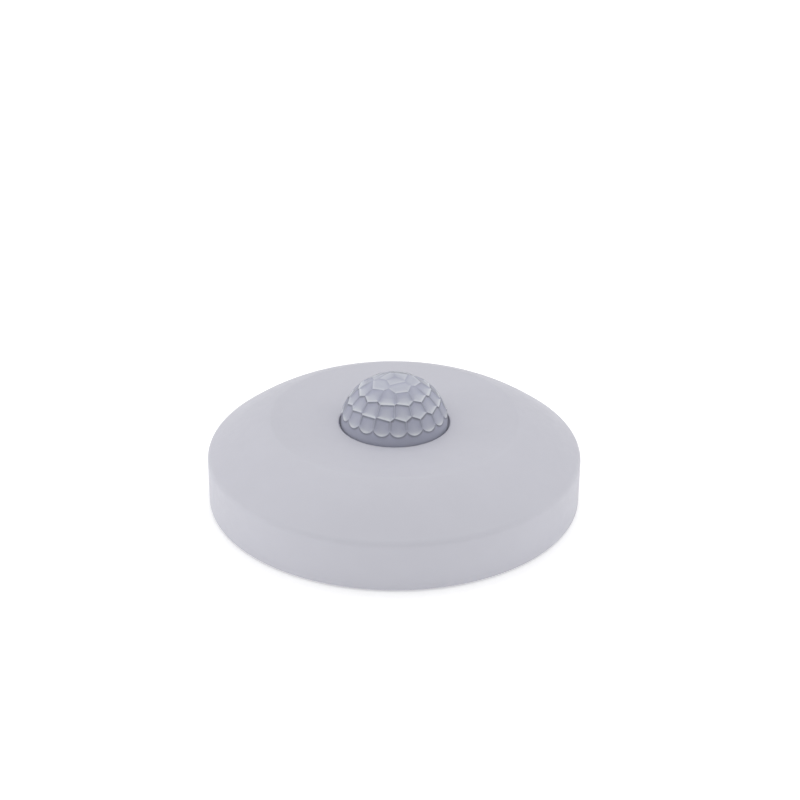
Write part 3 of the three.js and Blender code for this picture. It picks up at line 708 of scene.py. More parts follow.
BASE_RADIUS = 54.4
FLOOR = 2.4
FILLET = 0.3
WALL_INSIDE, WALL_OUTSIDE, WALL_TOP = 52, 53.6, 8.4
RIB_INSIDE, RIB_OUTSIDE, RIB_TOP = 28.8, 30, 3.8
SLOT_X = 41
CABLE_Y = middle_of("cable_grommet")[1]
BOARD_SCREWS = [middle_of(f"board_screw_{number}") for number in (1, 2, 3)]
_, _, BOARD_BOTTOM, _, _, BOARD_TOP = box_of("main_board")


def ridge(outside, inside, top, edge):
    """The profile of an upstanding ring above its outer foot, with eased edges and a fillet inside."""
    return [(outside, top - edge), (outside - edge, top), (inside + edge, top), (inside, top - edge),
            (inside, FLOOR + FILLET), (inside - FILLET, FLOOR)]


def base_plate():
    rear = [(0, 0), (15, 0), (15, 0.7), (31, 0.7), (31, 0), (BASE_RADIUS - 0.3, 0)]
    rim = [(BASE_RADIUS, 0.3), (BASE_RADIUS, FLOOR - 0.2), (BASE_RADIUS - 0.2, FLOOR)]
    wall = [(WALL_OUTSIDE, FLOOR)] + ridge(WALL_OUTSIDE, WALL_INSIDE, WALL_TOP, 0.3)
    rib = [(RIB_OUTSIDE + FILLET, FLOOR), (RIB_OUTSIDE, FLOOR + FILLET)]
    rib += ridge(RIB_OUTSIDE, RIB_INSIDE, RIB_TOP, 0.2)
    plate = lathe(rear + rim + wall + rib + [(0, FLOOR)], FINE)
    raised = [post(x, y, 3.4, 2.0, BOARD_BOTTOM) for x, y in BOARD_SCREWS]
    holes = [post(x, y, 1.35, 1.4, BOARD_BOTTOM + 1, 24) for x, y in BOARD_SCREWS]
    for x in (-SLOT_X, SLOT_X):
        raised.append(prism(rounded_rectangle(*about(x, 0, 5, 9.5), 2.5), 2.0, 3.2))
        holes.append(prism(rounded_rectangle(*about(x, 0, 2.3, 6), 2.29, 10), -1, 4.2))
    for angle in CATCHES:
        nose = ring_piece(53.0, 54.1, angle, 16, 6.6, 7.8)
        for vertex in nose.data.vertices:
            if vertex.co.z > 7.7 and vertex.co.xy.length > 54:
                vertex.co.xy *= 53.65 / 54.1
        raised.append(nose)
        holes += [ring_piece(51, 54.6, angle + side * 10, 1.6, 2.4, 9.4, 4) for side in (-1, 1)]
    holes.append(post(0, CABLE_Y, 7.0, -1, 3.4, ROUND))
    holes.append(post(0, CABLE_Y, 8.4, -1, 1.0, ROUND))
    stands_for(cut(join(plate, *raised), *holes), "base_plate", HOUSING)


def cable_grommet():
    """A rubber ring gripped in the floor's hole, with a stepped nose inside."""
    profile = [(3.6, 0.45), (3.8, 0.25), (7.9, 0.25), (8.1, 0.45), (8.1, 0.65), (7.95, 0.8), (6.7, 0.8),
               (6.7, 2.6), (8.4, 2.6), (8.6, 2.8), (8.6, 3.3), (8.4, 3.5), (5.6, 3.7)]
    for step in range(4):
        z = 3.9 + 0.5 * step
        radius = 5.35 - 0.19 * step
        profile += [(radius, z), (radius + 0.1, z + 0.12), (radius + 0.1, z + 0.3), (radius - 0.05, z + 0.4)]
    profile += [(4.6, 6.0), (4.4, 6.2), (3.8, 6.2), (3.6, 6.0)]
    stands_for(lathe(profile, ROUND, 0, CABLE_Y), "cable_grommet", RUBBER, smooth_angle=45)


# ---- circuit board ----

FOOT = box_of("relay")[2]
LEG_FOOT = BOARD_TOP + 0.05
SUNK = BOARD_TOP - 0.02
SCREW_PAD = 3.1
TRACK_STEP = 0.002
MAINS_WIDTH, SIGNAL_WIDTH = 2.2, 0.55
PRINT_HALF_WIDTH, PRINT_TOP = 0.11, BOARD_TOP + 0.09
RING_TOP = BOARD_TOP + 0.1


def board_outline():
    radius, half_width, notch, notch_top = 47.5, 33.5, 9.5, -37.8
    corner = math.degrees(math.acos(half_width / radius))
    edge = math.degrees(math.asin(notch / radius))
    outline = arc(radius, -90 + edge, -corner, 24)
    outline += arc(radius, corner, 180 - corner, 64)
    outline += arc(radius, 180 + corner, 270 - edge, 24)
    return outline + [(-notch, notch_top), (notch, notch_top)]


def main_board():
    board = prism(board_outline(), BOARD_BOTTOM, BOARD_TOP)
    board = cut(board, *[post(x, y, 1.7, 4, 7.6, SMALL) for x, y in BOARD_SCREWS])
    stands_for(board, "main_board", BOARD, soften=0.08)


def track(line, width, z0, z1):
    """A flat track of even width along a line of points, with mitred bends and round ends."""
    half = width / 2
    points = [Vector(point) for point in line]
    ways = [(after - before).normalized() for before, after in zip(points, points[1:])]
    left, right = [], []
    for corner, before, after in zip(points[1:], ways, ways[1:]):
        middle = (before + after).normalized()
        side = Vector((-middle.y, middle.x)) * half / middle.dot(before)
        left.append(tuple(corner + side))
        right.append(tuple(corner - side))
    start, end = (math.degrees(math.atan2(way.y, way.x)) for way in (ways[0], ways[-1]))
    outline = arc(half, start + 90, start + 270, 8, *points[0]) + right
    outline += arc(half, end - 90, end + 90, 8, *points[-1]) + left[::-1]
    return prism(outline, z0, z1)


def tracks(lines, width, z0, z1):
    """Tracks that each stand a little higher than the one before, so no two share a face where they meet."""
    return [track(line, width, z0, z1 + TRACK_STEP * i) for i, line in enumerate(lines)]


# The points of each track, worked out to join the parts' legs.
MAINS_TRACKS = (
    ((-7.6, -27), (-7.6, -24.5), (-13, -24.5), (-31, -14), (-31, -8), (-29.5, -8)),
    ((-24.5, -8), (-22, -5.5), (-22, 4), (-21.5, 30), (-21.5, 33)),
    ((0, -27), (0, -24.6), (-9, -23.2), (-9, -12), (-17, -3), (-17, 9.7)),
    ((7.6, -27), (7.6, -25), (27, -25), (31.6, -20), (31.6, 26), (24, 37), (7, 39.5), (7, 36)),
    ((-16.5, 33), (-12, 33), (-12, 25), (-7, 25)),
)
SIGNAL_TRACKS = (
    ((-11.5, 9.7), (-11.5, 6), (-8.3, 2), (-8.3, -5), (-13, -13.5)),
    ((-0.4, -14), (-0.4, -10), (3, -8.5)),
    ((2.2, -14), (2.2, -11.5), (9.7, -9), (9.7, -6)),
    ((4.7, -14), (4.7, -12.5), (14, -10.5), (19, -7), (22.5, -7)),
    ((7.3, -14), (7.3, -13.3), (17, -12), (18.5, 2.5), (22.5, 7)),
    ((9.8, -14), (16.2, -13.5), (17, 5), (17.6, 17), (22.5, 22)),
    ((12.3, -14), (15.4, -14), (15.4, 20), (14.2, 31)),
    ((17.4, -14), (19.4, -16.5), (21.8, -16.5)),
    ((-12, -6), (-14.5, -6), (-14.5, -9), (-10, -12), (-4, -12.6), (-0.4, -14)),
    ((6.4, 16.4), (11.5, 16.4), (11.5, 28), (16.8, 31)),
    ((-6.4, 16.4), (-8.5, 16.4), (-9, 20.5), (-13, 20.5), (-13, 15.7)),
    ((23, 31), (19, 34), (12, 34)),
)
VIAS = (
    (-9, -18), (13.5, -8.5), (18.2, 10.5), (13.6, 22.6), (-13.4, 2.4), (-20, 12), (27, 28.5), (-27, 30),
    (16, -26), (22, -28), (-16, -29), (-22, -27.5), (12.6, 11.2), (-6, 20.3), (6, -10.2),
)


def copper():
    """Tracks under the solder mask, standing just proud of the board."""
    high = BOARD_TOP + 0.035
    lines = tracks(MAINS_TRACKS, MAINS_WIDTH, SUNK, high)
    lines += tracks(SIGNAL_TRACKS, SIGNAL_WIDTH, SUNK, high + TRACK_STEP * len(MAINS_TRACKS))
    on_base(lines, "board_tracks", "circuit_board", TRACK)


def pads(places):
    """Solder on the pads round the legs, and the bare rings round the screw holes and vias."""
    mounds = []
    for x, y, radius in places:
        profile = [(0, SUNK), (radius, SUNK), (radius, BOARD_TOP + 0.04), (radius * 0.62, BOARD_TOP + 0.12),
                   (radius * 0.4, BOARD_TOP + 0.4), (0, BOARD_TOP + 0.45)]
        mounds.append(lathe(profile, 20, x, y))
    mounds += [washer(x, y, 0.22, 0.5, SUNK, BOARD_TOP + 0.045, 16) for x, y in VIAS]
    mounds += [washer(x, y, 1.9, SCREW_PAD, SUNK, BOARD_TOP + 0.03) for x, y in BOARD_SCREWS]
    on_base(mounds, "board_solder", "steel", SOLDER)


def print_ring(x, y, radius):
    return washer(x, y, radius - PRINT_HALF_WIDTH, radius + PRINT_HALF_WIDTH, SUNK, RING_TOP)


def print_frame(x0, x1, y0, y1):
    half = PRINT_HALF_WIDTH
    rings = []
    for out, z in ((half, SUNK), (half, PRINT_TOP), (-half, PRINT_TOP), (-half, SUNK)):
        left, right, front, back = x0 - out, x1 + out, y0 - out, y1 + out
        rings.append([(left, front, z), (right, front, z), (right, back, z), (left, back, z)])
    return skin_over(rings)


# Radii of the rings, and how far the frames stand out sideways, in front and behind.
RINGED = {"smoothing_capacitor": 5.5, "filter_capacitor": 3.6, "fuse": 4.7, "sensor_tower": 7.6,
          "light_sensor": 3.0, "status_led": 2.4}
FRAMED = {"relay": (0.6, 0.6, 0.6), "film_capacitor": (0.65, 0.6, 0.6), "varistor": (0.6, 0.7, 0.7),
          "terminal_housing": (0.6, 0.4, 0.5), "bridge_rectifier": (1.2, 1.1, 1.1),
          "control_chip": (0.55, 0.9, 0.8)}
ADJUSTERS = {name: middle_of(f"{name}_adjuster") for name in ("sensitivity", "time", "daylight")}


def frame_around(node, sides, front, back):
    x0, y0, _, x1, y1, _ = box_of(node)
    return [round(value, 3) for value in (x0 - sides, x1 + sides, y0 - front, y1 + back)]


def board_print():
    """White outlines that show where parts go."""
    marks = [print_ring(*middle_of(node), radius) for node, radius in RINGED.items()]
    marks += [print_frame(*frame_around(node, *margins)) for node, margins in FRAMED.items()]
    for x, y in ADJUSTERS.values():
        marks.append(print_frame(*about(x, y, 5.6, 5.6)))
    for x, y, turned in SMALL_PARTS:
        marks.append(print_frame(*about(x, y, *((1.2, 1.8) if turned else (1.8, 1.2)))))
    on_base(marks, "board_print", "circuit_board", STRIPE)


# The x and y of each small part, and 1 where it lies along Y.
SMALL_PARTS = (
    (13.2, 2.6, 0), (13.2, 6.0, 0), (13.2, 13.2, 0), (13.2, 24.6, 0), (18.2, 25.4, 1), (-17.2, -4.0, 1),
    (-14.0, 4.6, 1), (-18.0, 21.2, 0), (-14.2, 27.4, 0), (17.6, -28.6, 1), (21.6, -31.2, 1), (14.6, -32.6, 0),
    (-16.4, -31.6, 0), (-20.6, -31.6, 1), (-14.8, -26.8, 0), (4.2, 12.4, 0), (-4.2, -9.8, 1), (22.6, 26.0, 1),
    (-29.4, 1.4, 1), (8.4, 41.0, 0), (-8.4, 41.0, 0),
)


def small_parts():
    """Surface-mounted resistors and capacitors: a body between two tinned ends."""
    bodies = {True: [], False: []}
    ends = []
    for i, (x, y, turned) in enumerate(SMALL_PARTS):
        resistor = i % 3 != 1
        top = FOOT + (0.5 if resistor else 0.85)
        body = block(-0.72, 0.72, -0.6, 0.6, FOOT, top, 0.04, 1)
        tips = [block(*sorted((side * 1.02, side * 0.7)), -0.62, 0.62, FOOT - 0.05, top + 0.03, 0.06, 2)
                for side in (-1, 1)]
        fillets = [prism([(side * 1.3, BOARD_TOP), (side * 1.0, BOARD_TOP), (side * 1.0, BOARD_TOP + 0.45)],
                         -0.6, 0.6, "Y") for side in (-1, 1)]
        for obj in [body, *tips, *fillets]:
            moved(obj, 90 * turned, place=(x, y, 0))
        bodies[resistor].append(body)
        ends += tips + fillets
    on_base(bodies[True], "small_resistors", "chip_package", CHIP)
    on_base(bodies[False], "small_capacitors", "resistor_coating", CERAMIC)
    on_base(ends, "small_part_ends", "steel", TIN)


# ---- terminal block ----

TERMINAL_Y = middle_of("terminal_screw_1")[1]
POLES = [middle_of(f"terminal_screw_{number}")[0] for number in (1, 2, 3)]


def terminal_housing():
    """A block with a cage chamber, wire mouth, busbar slot and screw well for each pole."""
    x0, front, bottom, x1, back, top = box_of("terminal_housing")
    housing = block(x0, x1, front, back, bottom, top, 0.35, 3)
    tools = []
    for x in POLES:
        mouth = rounded_rectangle(x - 2.3, x + 2.3, 8.0, 12.6, 0.5)
        tools += [
            block(x - 2.8, x + 2.8, front + 1.2, -28.5, 7.6, 16.5),
            prism(mouth, front - 1, front + 1.5, "Y"),
            block(x - 1.7, x + 1.7, -28.6, back + 1, bottom - 1, 13.5),
            post(x, TERMINAL_Y, 1.75, 15.5, top),
            post(x, TERMINAL_Y, 2.6, 17.3, top + 1, 48),
        ]
    for x in (POLES[0] / 2, POLES[2] / 2):
        groove = [(x - 0.35, top + 0.3), (x + 0.35, top + 0.3), (x, top - 0.5)]
        tools.append(prism(groove, front - 1, back + 1, "Y"))
        tools.append(block(x - 0.2, x + 0.2, front - 0.3, front + 0.4, 6, 20))
    stands_for(cut(housing, *tools), "terminal_housing", TERMINAL)


def busbar(number, x):
    """A bar for the wire to press on, with a leg down through the board."""
    bar = join(block(x - 1.4, x + 1.4, -34.9, -27.1, 12.4, 13.2, 0.12, 2),
               block(x - 1.0, x + 1.0, -27.9, -27.1, FOOT, 13.0, 0.08, 2))
    stands_for(bar, f"terminal_busbar_{number}", BRASS)


def cage(number, x):
    """A square collar that the screw pulls up, with gripping ridges in its floor."""
    y = TERMINAL_Y
    _, _, bottom, _, _, top = box_of(f"terminal_cage_{number}")
    body = block(*about(x, y, 2.5, 2.5), bottom, top, 0.3, 3)
    window = prism(rounded_rectangle(x - 1.7, x + 1.7, bottom + 1, top - 1, 0.35), y - 3.5, y + 3.5, "Y")
    grips = [block(*about(x, y + at, 1.5, 0.15), bottom + 0.9, bottom + 1.12)
             for at in (-1.8, -0.9, 0, 0.9, 1.8)]
    body = cut(body, window, post(x, y, 1.6, top - 2, top + 1))
    stands_for(join(body, *grips), f"terminal_cage_{number}", STEEL)


def terminal_screw(number, x):
    """A slotted cheese-head screw whose thread runs in the cage."""
    profile = [(0, 13.5), (0.9, 13.5)]
    for turn in range(6):
        level = 13.85 + 0.55 * turn
        profile += [(1.18, level), (1.4, level + 0.28)]
    profile += [(1.18, 17.2), (1.4, 17.4), (2.15, 17.4), (2.3, 17.55), (2.3, 18.6)]
    bend(profile, (2.3, 19.0), (1.8, 19.0), 5)
    screw = lathe(profile + [(0, 19.0)], SMALL, x, TERMINAL_Y)
    slot = block(*about(x, TERMINAL_Y, 3, 0.35), 18.1, 20)
    stands_for(cut(screw, slot), f"terminal_screw_{number}", STEEL, smooth_angle=30)


# ---- parts on the board ----

TRANSISTOR_Y = 31
LEG_STEPS = (-1.27, 0, 1.27)
PIN_PITCH, PIN_REACH = 2.54, 3.77
PACKAGE_DRAFT = 0.22


def cased(node, corner, finish):
    """A potted box on a base tray, with a groove between them and a dimple in its lid."""
    x0, y0, _, x1, y1, top = box_of(node)
    tray = prism(rounded_rectangle(x0, x1, y0, y1, corner), FOOT, 8.2)
    neck = prism(rounded_rectangle(x0 + 0.25, x1 - 0.25, y0 + 0.25, y1 - 0.25, corner), 8.1, 8.6)
    lid = prism(rounded_rectangle(x0, x1, y0, y1, corner), 8.5, top)
    panel = prism(rounded_rectangle(x0 + 1.2, x1 - 1.2, y0 + 1.2, y1 - 1.2, corner), top - 0.15, top + 1)
    dimple = post(x0 + 2.2, y1 - 2.2, 0.7, top - 0.5, top + 1, 24)
    box = cut(join(tray, neck, lid), panel, dimple)
    stands_for(box, node, finish, soften=0.18)


def can_capacitor(node):
    """A sleeved can rolled in near its foot, with a scored lid and a stripe down its negative side."""
    x, y = middle_of(node)
    x0, _, _, x1, _, top = box_of(node)
    radius = round((x1 - x0) / 2, 3)
    profile = [(0, FOOT), (radius - 0.3, FOOT), (radius, FOOT + 0.3), (radius, FOOT + 0.9)]
    bend(profile, (radius * 0.86, FOOT + 1.4), (radius, FOOT + 1.9), 8)
    profile.append((radius, top - 0.5))
    bend(profile, (radius, top), (radius - 0.5, top), 6)
    profile += [(radius - 0.75, top - 0.05), (radius - 0.8, top - 0.3), (0, top - 0.3)]
    stands_for(lathe(profile, ROUND, x, y), node, SLEEVE)
    lid = post(x, y, radius - 0.82, top - 0.35, top - 0.12, SMALL, 0.05)
    reach, half_width = 0.62 * radius, 0.12
    arms = [block(*about(x, y, *halves), top - 0.2, top + 1)
            for halves in ((reach, half_width), (half_width, reach))]
    on_base([cut(lid, *arms)], f"{node}_lid", "steel", ALUMINIUM)
    stripe = ring_piece(radius - 0.1, radius + 0.02, 160, 46, FOOT + 2.1, top - 0.7)
    on_base([moved(stripe, place=(x, y, 0))], f"{node}_stripe", "capacitor_sleeve", STRIPE)


def either_side(x, y, reach, value):
    """Two (x, y, value) places at the same distance before and after x."""
    return [(x + side * reach, y, value) for side in (-1, 1)]


def legs(name, places, radius=0.3):
    """Straight legs from (x, y, top) down to the board."""
    wires = [post(x, y, radius, LEG_FOOT, top, 16) for x, y, top in places]
    on_base(wires, name, "steel", TIN)


def varistor():
    """A dipped disc whose coating runs a little way down its legs."""
    x, y = middle_of("varistor")
    z = BOARD_TOP + 7
    half = [(0, -2), (3.9, -2)]
    bend(half, (5.2, -1.9), (5.2, 0), 8)
    profile = half + [(radius, -level) for radius, level in half[-2::-1]]
    disc = moved(lathe(profile, 64), 90, "X", (x, y, z))
    run = [(0, 8.2), (0.5, 8.2), (0.62, 8.9), (1.1, 10.4), (0, 11.5)]
    places = either_side(x, y, 2.5, 9.0)
    runs = [lathe(run, 20, *place[:2]) for place in places]
    stands_for(join(disc, *runs), "varistor", VARISTOR, smooth_angle=60)
    legs("varistor_legs", places, 0.38)


def fuse():
    """A round moulded cap on a slightly wider foot, with a notch that marks its front."""
    x, y = middle_of("fuse")
    top = box_of("fuse")[5]
    radius, cap = 4.2, 4.05
    profile = [(0, FOOT), (radius - 0.2, FOOT), (radius, FOOT + 0.2), (radius, FOOT + 1.1),
               (cap, FOOT + 1.25), (cap, top - 0.7)]
    bend(profile, (cap, top), (cap - 0.7, top), 6)
    profile += [(2.6, top), (2.5, top - 0.15), (0, top - 0.15)]
    body = lathe(profile, ROUND, x, y)
    mark = block(x - 0.3, x + 0.3, y - 4.4, y - 2.9, top - 0.25, top + 1)
    stands_for(cut(body, mark), "fuse", FUSE)


def package(node, length, width, height, pins, pitch):
    """A moulded body with drafted sides, a seam, a notch and a row of bent pins down each long side."""
    x, y = middle_of(node)
    bottom = BOARD_TOP + 0.8
    seam, top = bottom + height / 2, bottom + height
    body = None
    for z1 in (bottom, top):
        half = block(*about(x, y, length / 2, width / 2), min(seam, z1), max(seam, z1))
        for vertex in half.data.vertices:
            if abs(vertex.co.z - z1) < 1e-6:
                vertex.co.x -= math.copysign(PACKAGE_DRAFT, vertex.co.x - x)
                vertex.co.y -= math.copysign(PACKAGE_DRAFT, vertex.co.y - y)
        body = join(body, half) if body else half
    notch = post(x - length / 2, y, 0.9, seam + 0.3, top + 1)
    dot = post(x - length / 2 + 1.6, y - width / 2 + 1.5, 0.5, top - 0.2, top + 1, 20)
    stands_for(cut(body, notch, dot), node, CHIP, soften=0.07)
    near, far = width / 2 - 0.4, width / 2 + 0.68
    outline = [(near, seam + 0.13), (far - 0.15, seam + 0.13), (far, seam - 0.05), (far, LEG_FOOT),
               (far - 0.25, LEG_FOOT), (far - 0.25, seam - 0.13), (near, seam - 0.13)]
    bent = []
    for i in range(pins):
        pin_x = x + (i - (pins - 1) / 2) * pitch
        for side in (-1, 1):
            pin = prism([(y + side * v, z) for v, z in outline], pin_x - 0.6, pin_x + 0.6, "X")
            for vertex in pin.data.vertices:
                if vertex.co.z < BOARD_TOP + 0.5:
                    vertex.co.x = pin_x + math.copysign(0.25, vertex.co.x - pin_x)
            bent.append(pin)
    on_base(bent, f"{node}_pins", "steel", TIN, 0.04)


def dropper_resistor():
    """A lacquered body with swollen ends and four bands, lying on bent leads."""
    y, z = middle_of("dropper_resistor")[1], BOARD_TOP + 2.2
    half = [(0, -4.7), (1.4, -4.7)]
    bend(half, (1.85, -4.6), (1.85, -4.1), 4)
    half.append((1.85, -3.5))
    bend(half, (1.8, -3.0), (1.6, -2.7), 4)
    profile = half + [(radius, -level) for radius, level in half[::-1]]
    lying = (90, "Y", (0, y, z))
    stands_for(moved(lathe(profile, 48), *lying), "dropper_resistor", RESISTOR, smooth_angle=50)
    bands = ((-3.8, 1.87, BAND_RED), (-1.9, 1.62, CERAMIC), (-0.4, 1.62, CHIP), (3.8, 1.87, BAND_GOLD))
    for number, (at, radius, finish) in enumerate(bands):
        band = moved(washer(0, 0, radius - 0.1, radius, at - 0.4, at + 0.4, 48), *lying)
        on_base([band], f"dropper_resistor_band_{number + 1}", "resistor_coating", finish)
    wires = [lead([(side * 4.5, y, z), (side * 6.4, y, z), (side * 6.4, y, LEG_FOOT)], 0.35)
             for side in (-1, 1)]
    on_base(wires, "dropper_resistor_leads", "steel", TIN)


def transistor(node):
    """A round-backed case with a flat face and a dot, on three legs."""
    x, y = middle_of(node)[0], TRANSISTOR_Y
    outline = arc(2.4, -35, 215, 32, x, y)
    body = prism(outline, BOARD_TOP + 3, BOARD_TOP + 7.8)
    body = cut(body, post(x, y - 1.1, 0.45, BOARD_TOP + 7.6, BOARD_TOP + 8, 20))
    stands_for(body, node, CHIP, soften=0.12)
    wires = [block(*about(x + at, y, 0.25, 0.25), LEG_FOOT, BOARD_TOP + 3.2, 0.04, 1) for at in LEG_STEPS]
    on_base(wires, f"{node}_legs", "steel", TIN)


# ---- adjusters ----

TICKS = 11
KNOB_RIDGES = 18
RIDGE_DEPTH = 0.35
KNOB_RADIUS, SHAFT_RADIUS = 4.5, 1.9


def adjuster(name, x, y):
    """A square case with a boss round its shaft hole and ticks round the knob."""
    body = prism(rounded_rectangle(*about(x, y, 5, 5), 0.8), FOOT, 11.4)
    body = join(body, post(x, y, 3.6, 11.0, 12.2, 64, 0.1))
    body = cut(body, post(x, y, 2.2, 8, 13.2, 48), block(x - 5.5, x - 4.7, y - 2, y + 2, 8.2, 9.6))
    stands_for(body, f"{name}_adjuster", ADJUSTER_BLUE, soften=0.1)
    ticks = []
    for i in range(TICKS):
        tick = block(3.95, 4.75, -0.11, 0.11, 11.36, 11.46)
        ticks.append(moved(tick, 225 - 270 / (TICKS - 1) * i, place=(x, y, 0)))
    on_base(ticks, f"{name}_adjuster_ticks", "adjuster_case", STRIPE)


def adjuster_knob(name, x, y):
    """A ridged knob on its shaft, with a screwdriver slot and a dimple that points to the setting."""
    steps = 12 * KNOB_RIDGES
    rim = []
    for i in range(steps):
        angle = 2 * math.pi * i / steps
        reach = KNOB_RADIUS - RIDGE_DEPTH / 2 * (1 - math.cos(KNOB_RIDGES * angle))
        rim.append((math.cos(angle), math.sin(angle), reach))
    rings = [[(x, y, 8.3)]]
    rings += [[(x + SHAFT_RADIUS * c, y + SHAFT_RADIUS * s, z) for c, s, _ in rim] for z in (8.3, 12.5)]
    for inset, z in ((0.25, 12.5), (0, 12.75), (0, 15.8), (0.12, 16.05), (0.4, 16.2)):
        rings.append([(x + (reach - inset) * c, y + (reach - inset) * s, z) for c, s, reach in rim])
    rings.append([(x, y, 16.2)])
    knob = skin_over(rings)
    slot = block(*about(x, y, 0.45, 3.2), 15.2, 17.2, 0.1, 1)
    dimple = lathe([(0, 15.6), (0.4, 15.75), (0.55, 16.0), (0.62, 16.6), (0, 16.6)], 24, x, y + 3.5)
    stands_for(cut(knob, slot, dimple), f"{name}_knob", KNOB_WHITE, smooth_angle=40)


# ---- sensing parts ----


def sensor_tower():
    """A ribbed tube on a flange that holds the detector at the lens's centre."""
    profile = [(4.0, FOOT), (6.8, FOOT), (7.0, FOOT + 0.2), (7.0, 7.7), (6.8, 7.9), (5.8, 8.1)]
    bend(profile, (5.4, 8.2), (5.4, 8.8), 5)
    profile += [(5.4, 16.8), (6.3, 17.4), (6.3, 19.0), (6.1, 19.2), (5.1, 19.2), (5.0, 19.1), (5.0, 18.4),
                (4.0, 18.4)]
    tower = lathe(profile, ROUND)
    rib = [(5.3, 8.0), (6.8, 7.9), (5.9, 9.6), (5.75, 16.7), (5.3, 16.8)]
    ribs = [moved(prism(rib, -0.4, 0.4, "Y"), 60 * i + 30) for i in range(6)]
    stands_for(join(tower, *ribs), "sensor_tower", TOWER)


def infrared_detector():
    """A metal can with a flange, a locating tab and a window recess."""
    profile = [(0, 18.5), (4.6, 18.5), (4.7, 18.6), (4.7, 19.0), (4.6, 19.1), (4.35, 19.1)]
    bend(profile, (4.15, 19.15), (4.15, 19.4), 4)
    profile.append((4.15, 22.2))
    bend(profile, (4.15, 22.6), (3.75, 22.6), 6)
    can = lathe(profile + [(0, 22.6)], ROUND)
    tab = moved(block(-0.5, 0.5, 4.4, 5.0, 18.5, 19.0, 0.05, 1), -45)
    recess = prism(rounded_rectangle(-2.5, 2.5, -2.0, 2.0, 0.3), 22.2, 23.6)
    stands_for(cut(join(can, tab), recess), "infrared_detector", GOLD)
    legs("infrared_detector_legs", [(*on_circle(2.4, angle), 18.6) for angle in (90, 210, 330)], 0.35)


def detector_window():
    stands_for(block(-2.3, 2.3, -1.8, 1.8, 22.25, 22.55, 0.06, 2), "detector_window", WINDOW)


def light_sensor():
    """A ceramic disc with a winding track of light-sensitive film on its face."""
    x, y = middle_of("light_sensor")
    top = 17.5
    stands_for(post(x, y, 2.55, 15.6, top, 48, 0.12), "light_sensor", CERAMIC)
    winding = []
    rows = 7
    for i in range(rows):
        at = -1.5 + 3.0 * i / (rows - 1)
        reach = math.sqrt(2.0 ** 2 - at ** 2) * (0.92 if i % 2 else -0.92)
        winding += [(x + reach, y + at), (x - reach, y + at)]
    on_base([track(winding, 0.2, top - 0.02, top + 0.08)], "light_sensor_track", "light_cell", BAND_RED)
    legs("light_sensor_legs", either_side(x, y, 1.3, 15.8))


def status_led():
    """A domed lamp with a rim that is flat on one side."""
    x, y = middle_of("status_led")
    base = 13.4
    profile = [(0, base), (1.8, base), (1.9, base + 0.1), (1.9, base + 0.8), (1.8, base + 0.9),
               (1.5, base + 0.95), (1.5, base + 3.2)]
    bend(profile, (1.5, base + 4.7), (0, base + 4.7), 12)
    body = cut(lathe(profile, 64, x, y), block(x - 2.2, x - 1.65, y - 3, y + 3, base - 1, base + 0.97))
    stands_for(body, "status_led", LED, smooth_angle=30)
    legs("status_led_legs", either_side(x, y, 1, base + 0.2))


def solder_places():
    """The x, y and radius of the solder round each leg."""
    places = [(x, -27.5, 1.3) for x in POLES]
    pairs = (("varistor", 2.5, 0.9), ("smoothing_capacitor", 2.5, 0.9), ("dropper_resistor", 6.4, 0.8))
    for node, reach, radius in pairs:
        places += either_side(*middle_of(node), reach, radius)
    for node in ("voltage_regulator", "relay_transistor"):
        x = middle_of(node)[0]
        places += [(x + at, TRANSISTOR_Y, 0.6) for at in LEG_STEPS]
    x, y = middle_of("control_chip")
    places += [(x + (i - 3.5) * PIN_PITCH, y + side * PIN_REACH, 0.65) for i in range(8) for side in (-1, 1)]
    x, y = middle_of("bridge_rectifier")
    places += [(x + side * 2.55, y + other * PIN_REACH, 0.8) for side in (-1, 1) for other in (-1, 1)]
    for node, reach in (("light_sensor", 1.3), ("status_led", 1)):
        places += either_side(*middle_of(node), reach, 0.6)
    return places


base_plate()
cable_grommet()
main_board()
for i, (x, y) in enumerate(BOARD_SCREWS):
    pan_screw(f"board_screw_{i + 1}", x, y, 6.65, 2.8, 1.7, 1.1, 4.8)
copper()
board_print()
small_parts()
pads(solder_places())
terminal_housing()
for i, x in enumerate(POLES):
    busbar(i + 1, x)
    cage(i + 1, x)
    terminal_screw(i + 1, x)
cased("relay", 0.8, RELAY)
cased("film_capacitor", 0.7, FILM)
can_capacitor("smoothing_capacitor")
can_capacitor("filter_capacitor")
varistor()
fuse()
package("bridge_rectifier", 8.4, 6.4, 3.2, 2, 5.1)
package("control_chip", 19.3, 6.4, 3.4, 8, PIN_PITCH)
dropper_resistor()
transistor("voltage_regulator")
transistor("relay_transistor")
for name, place in ADJUSTERS.items():
    adjuster(name, *place)
    adjuster_knob(name, *place)
sensor_tower()
infrared_detector()
detector_window()
light_sensor()
status_led()


# ---- floor, light and camera ----

HORIZON, ZENITH = 0.37, 1.16
FLOOR_HALF, FLOOR_Z = 3.0, -0.0003
EYE = Vector((0.0, -0.48174, 0.27652))
TARGET = Vector((0.00166, 0, 0.03206))
ROLL = 0.42
FOCAL_LENGTH = 79.6


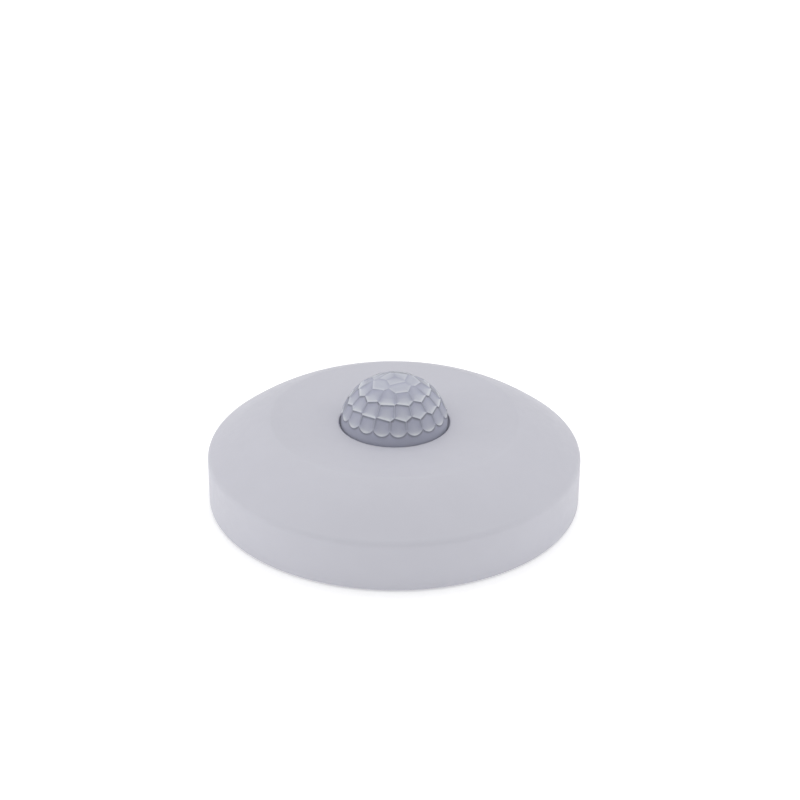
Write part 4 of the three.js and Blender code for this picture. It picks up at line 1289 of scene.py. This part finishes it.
def floor():
    """Pale paper, a hair under the object, that glows a little so that it stays white under soft shadows."""
    mesh = bpy.data.meshes.new("floor")
    corners = [(x * FLOOR_HALF, y * FLOOR_HALF, FLOOR_Z) for x, y in ((-1, -1), (1, -1), (1, 1), (-1, 1))]
    mesh.from_pydata(corners, [], [(0, 1, 2, 3)])
    finish = Finish("floor_paper", 0.9)
    finish.set(Base_Color=finish.ramp(finish.noise(40.0), (0.86, 0.86, 0.86), (0.88, 0.88, 0.88)),
               Emission_Color=(1, 1, 1, 1), Emission_Strength=0.3, Specular_IOR_Level=0.0)
    mesh.materials.append(finish.material)
    linked(mesh, "floor")


def area_light(name, place, size, power):
    """A soft box that looks at the object."""
    light = bpy.data.lights.new(name, "AREA")
    light.shape = "RECTANGLE"
    light.size, light.size_y = size
    light.energy = power
    holder = linked(light, name)
    holder.location = place
    holder.rotation_euler = (Vector((0, 0, 0.015)) - Vector(place)).to_track_quat("-Z", "Y").to_euler()


def studio():
    """Two low soft boxes, one high behind, and a sky that dims towards the horizon but looks white."""
    world = bpy.data.worlds.new("studio")
    SCENE.world = world
    sky = Nodes(world)
    height = sky.node("SeparateXYZ", Vector=sky.node("TexCoord").outputs["Generated"]).outputs["Z"]
    strength = sky.node("MapRange", To_Min=HORIZON, To_Max=ZENITH, Value=height).outputs["Result"]
    camera_ray = sky.node("LightPath").outputs["Is Camera Ray"]
    seen = sky.node("Mix", B=1.0, Factor=camera_ray, A=strength).outputs["Result"]
    sky.fill(sky.tree.nodes["Background"], Color=(1, 1, 1, 1), Strength=seen)
    area_light("left_box", (-1.1, 0.0, 0.14), (0.9, 0.26), 2.2)
    area_light("right_box", (1.1, 0.05, 0.14), (0.9, 0.26), 1.5)
    area_light("top_box", (0.0, 0.45, 1.1), (1.0, 0.8), 2.1)
    SCENE.view_settings.view_transform = "Standard"


def camera():
    """The photograph's angle: a little under 30 degrees above the floor, through a short telephoto lens."""
    lens = bpy.data.cameras.new("camera")
    lens.lens = FOCAL_LENGTH
    lens.sensor_width = 36
    lens.clip_end = 50
    holder = linked(lens, "camera")
    facing = (TARGET - EYE).to_track_quat("-Z", "Y").to_matrix().to_4x4()
    holder.matrix_world = Matrix.Translation(EYE) @ facing @ Matrix.Rotation(math.radians(ROLL), 4, "Z")
    SCENE.camera = holder


floor()
studio()
camera()
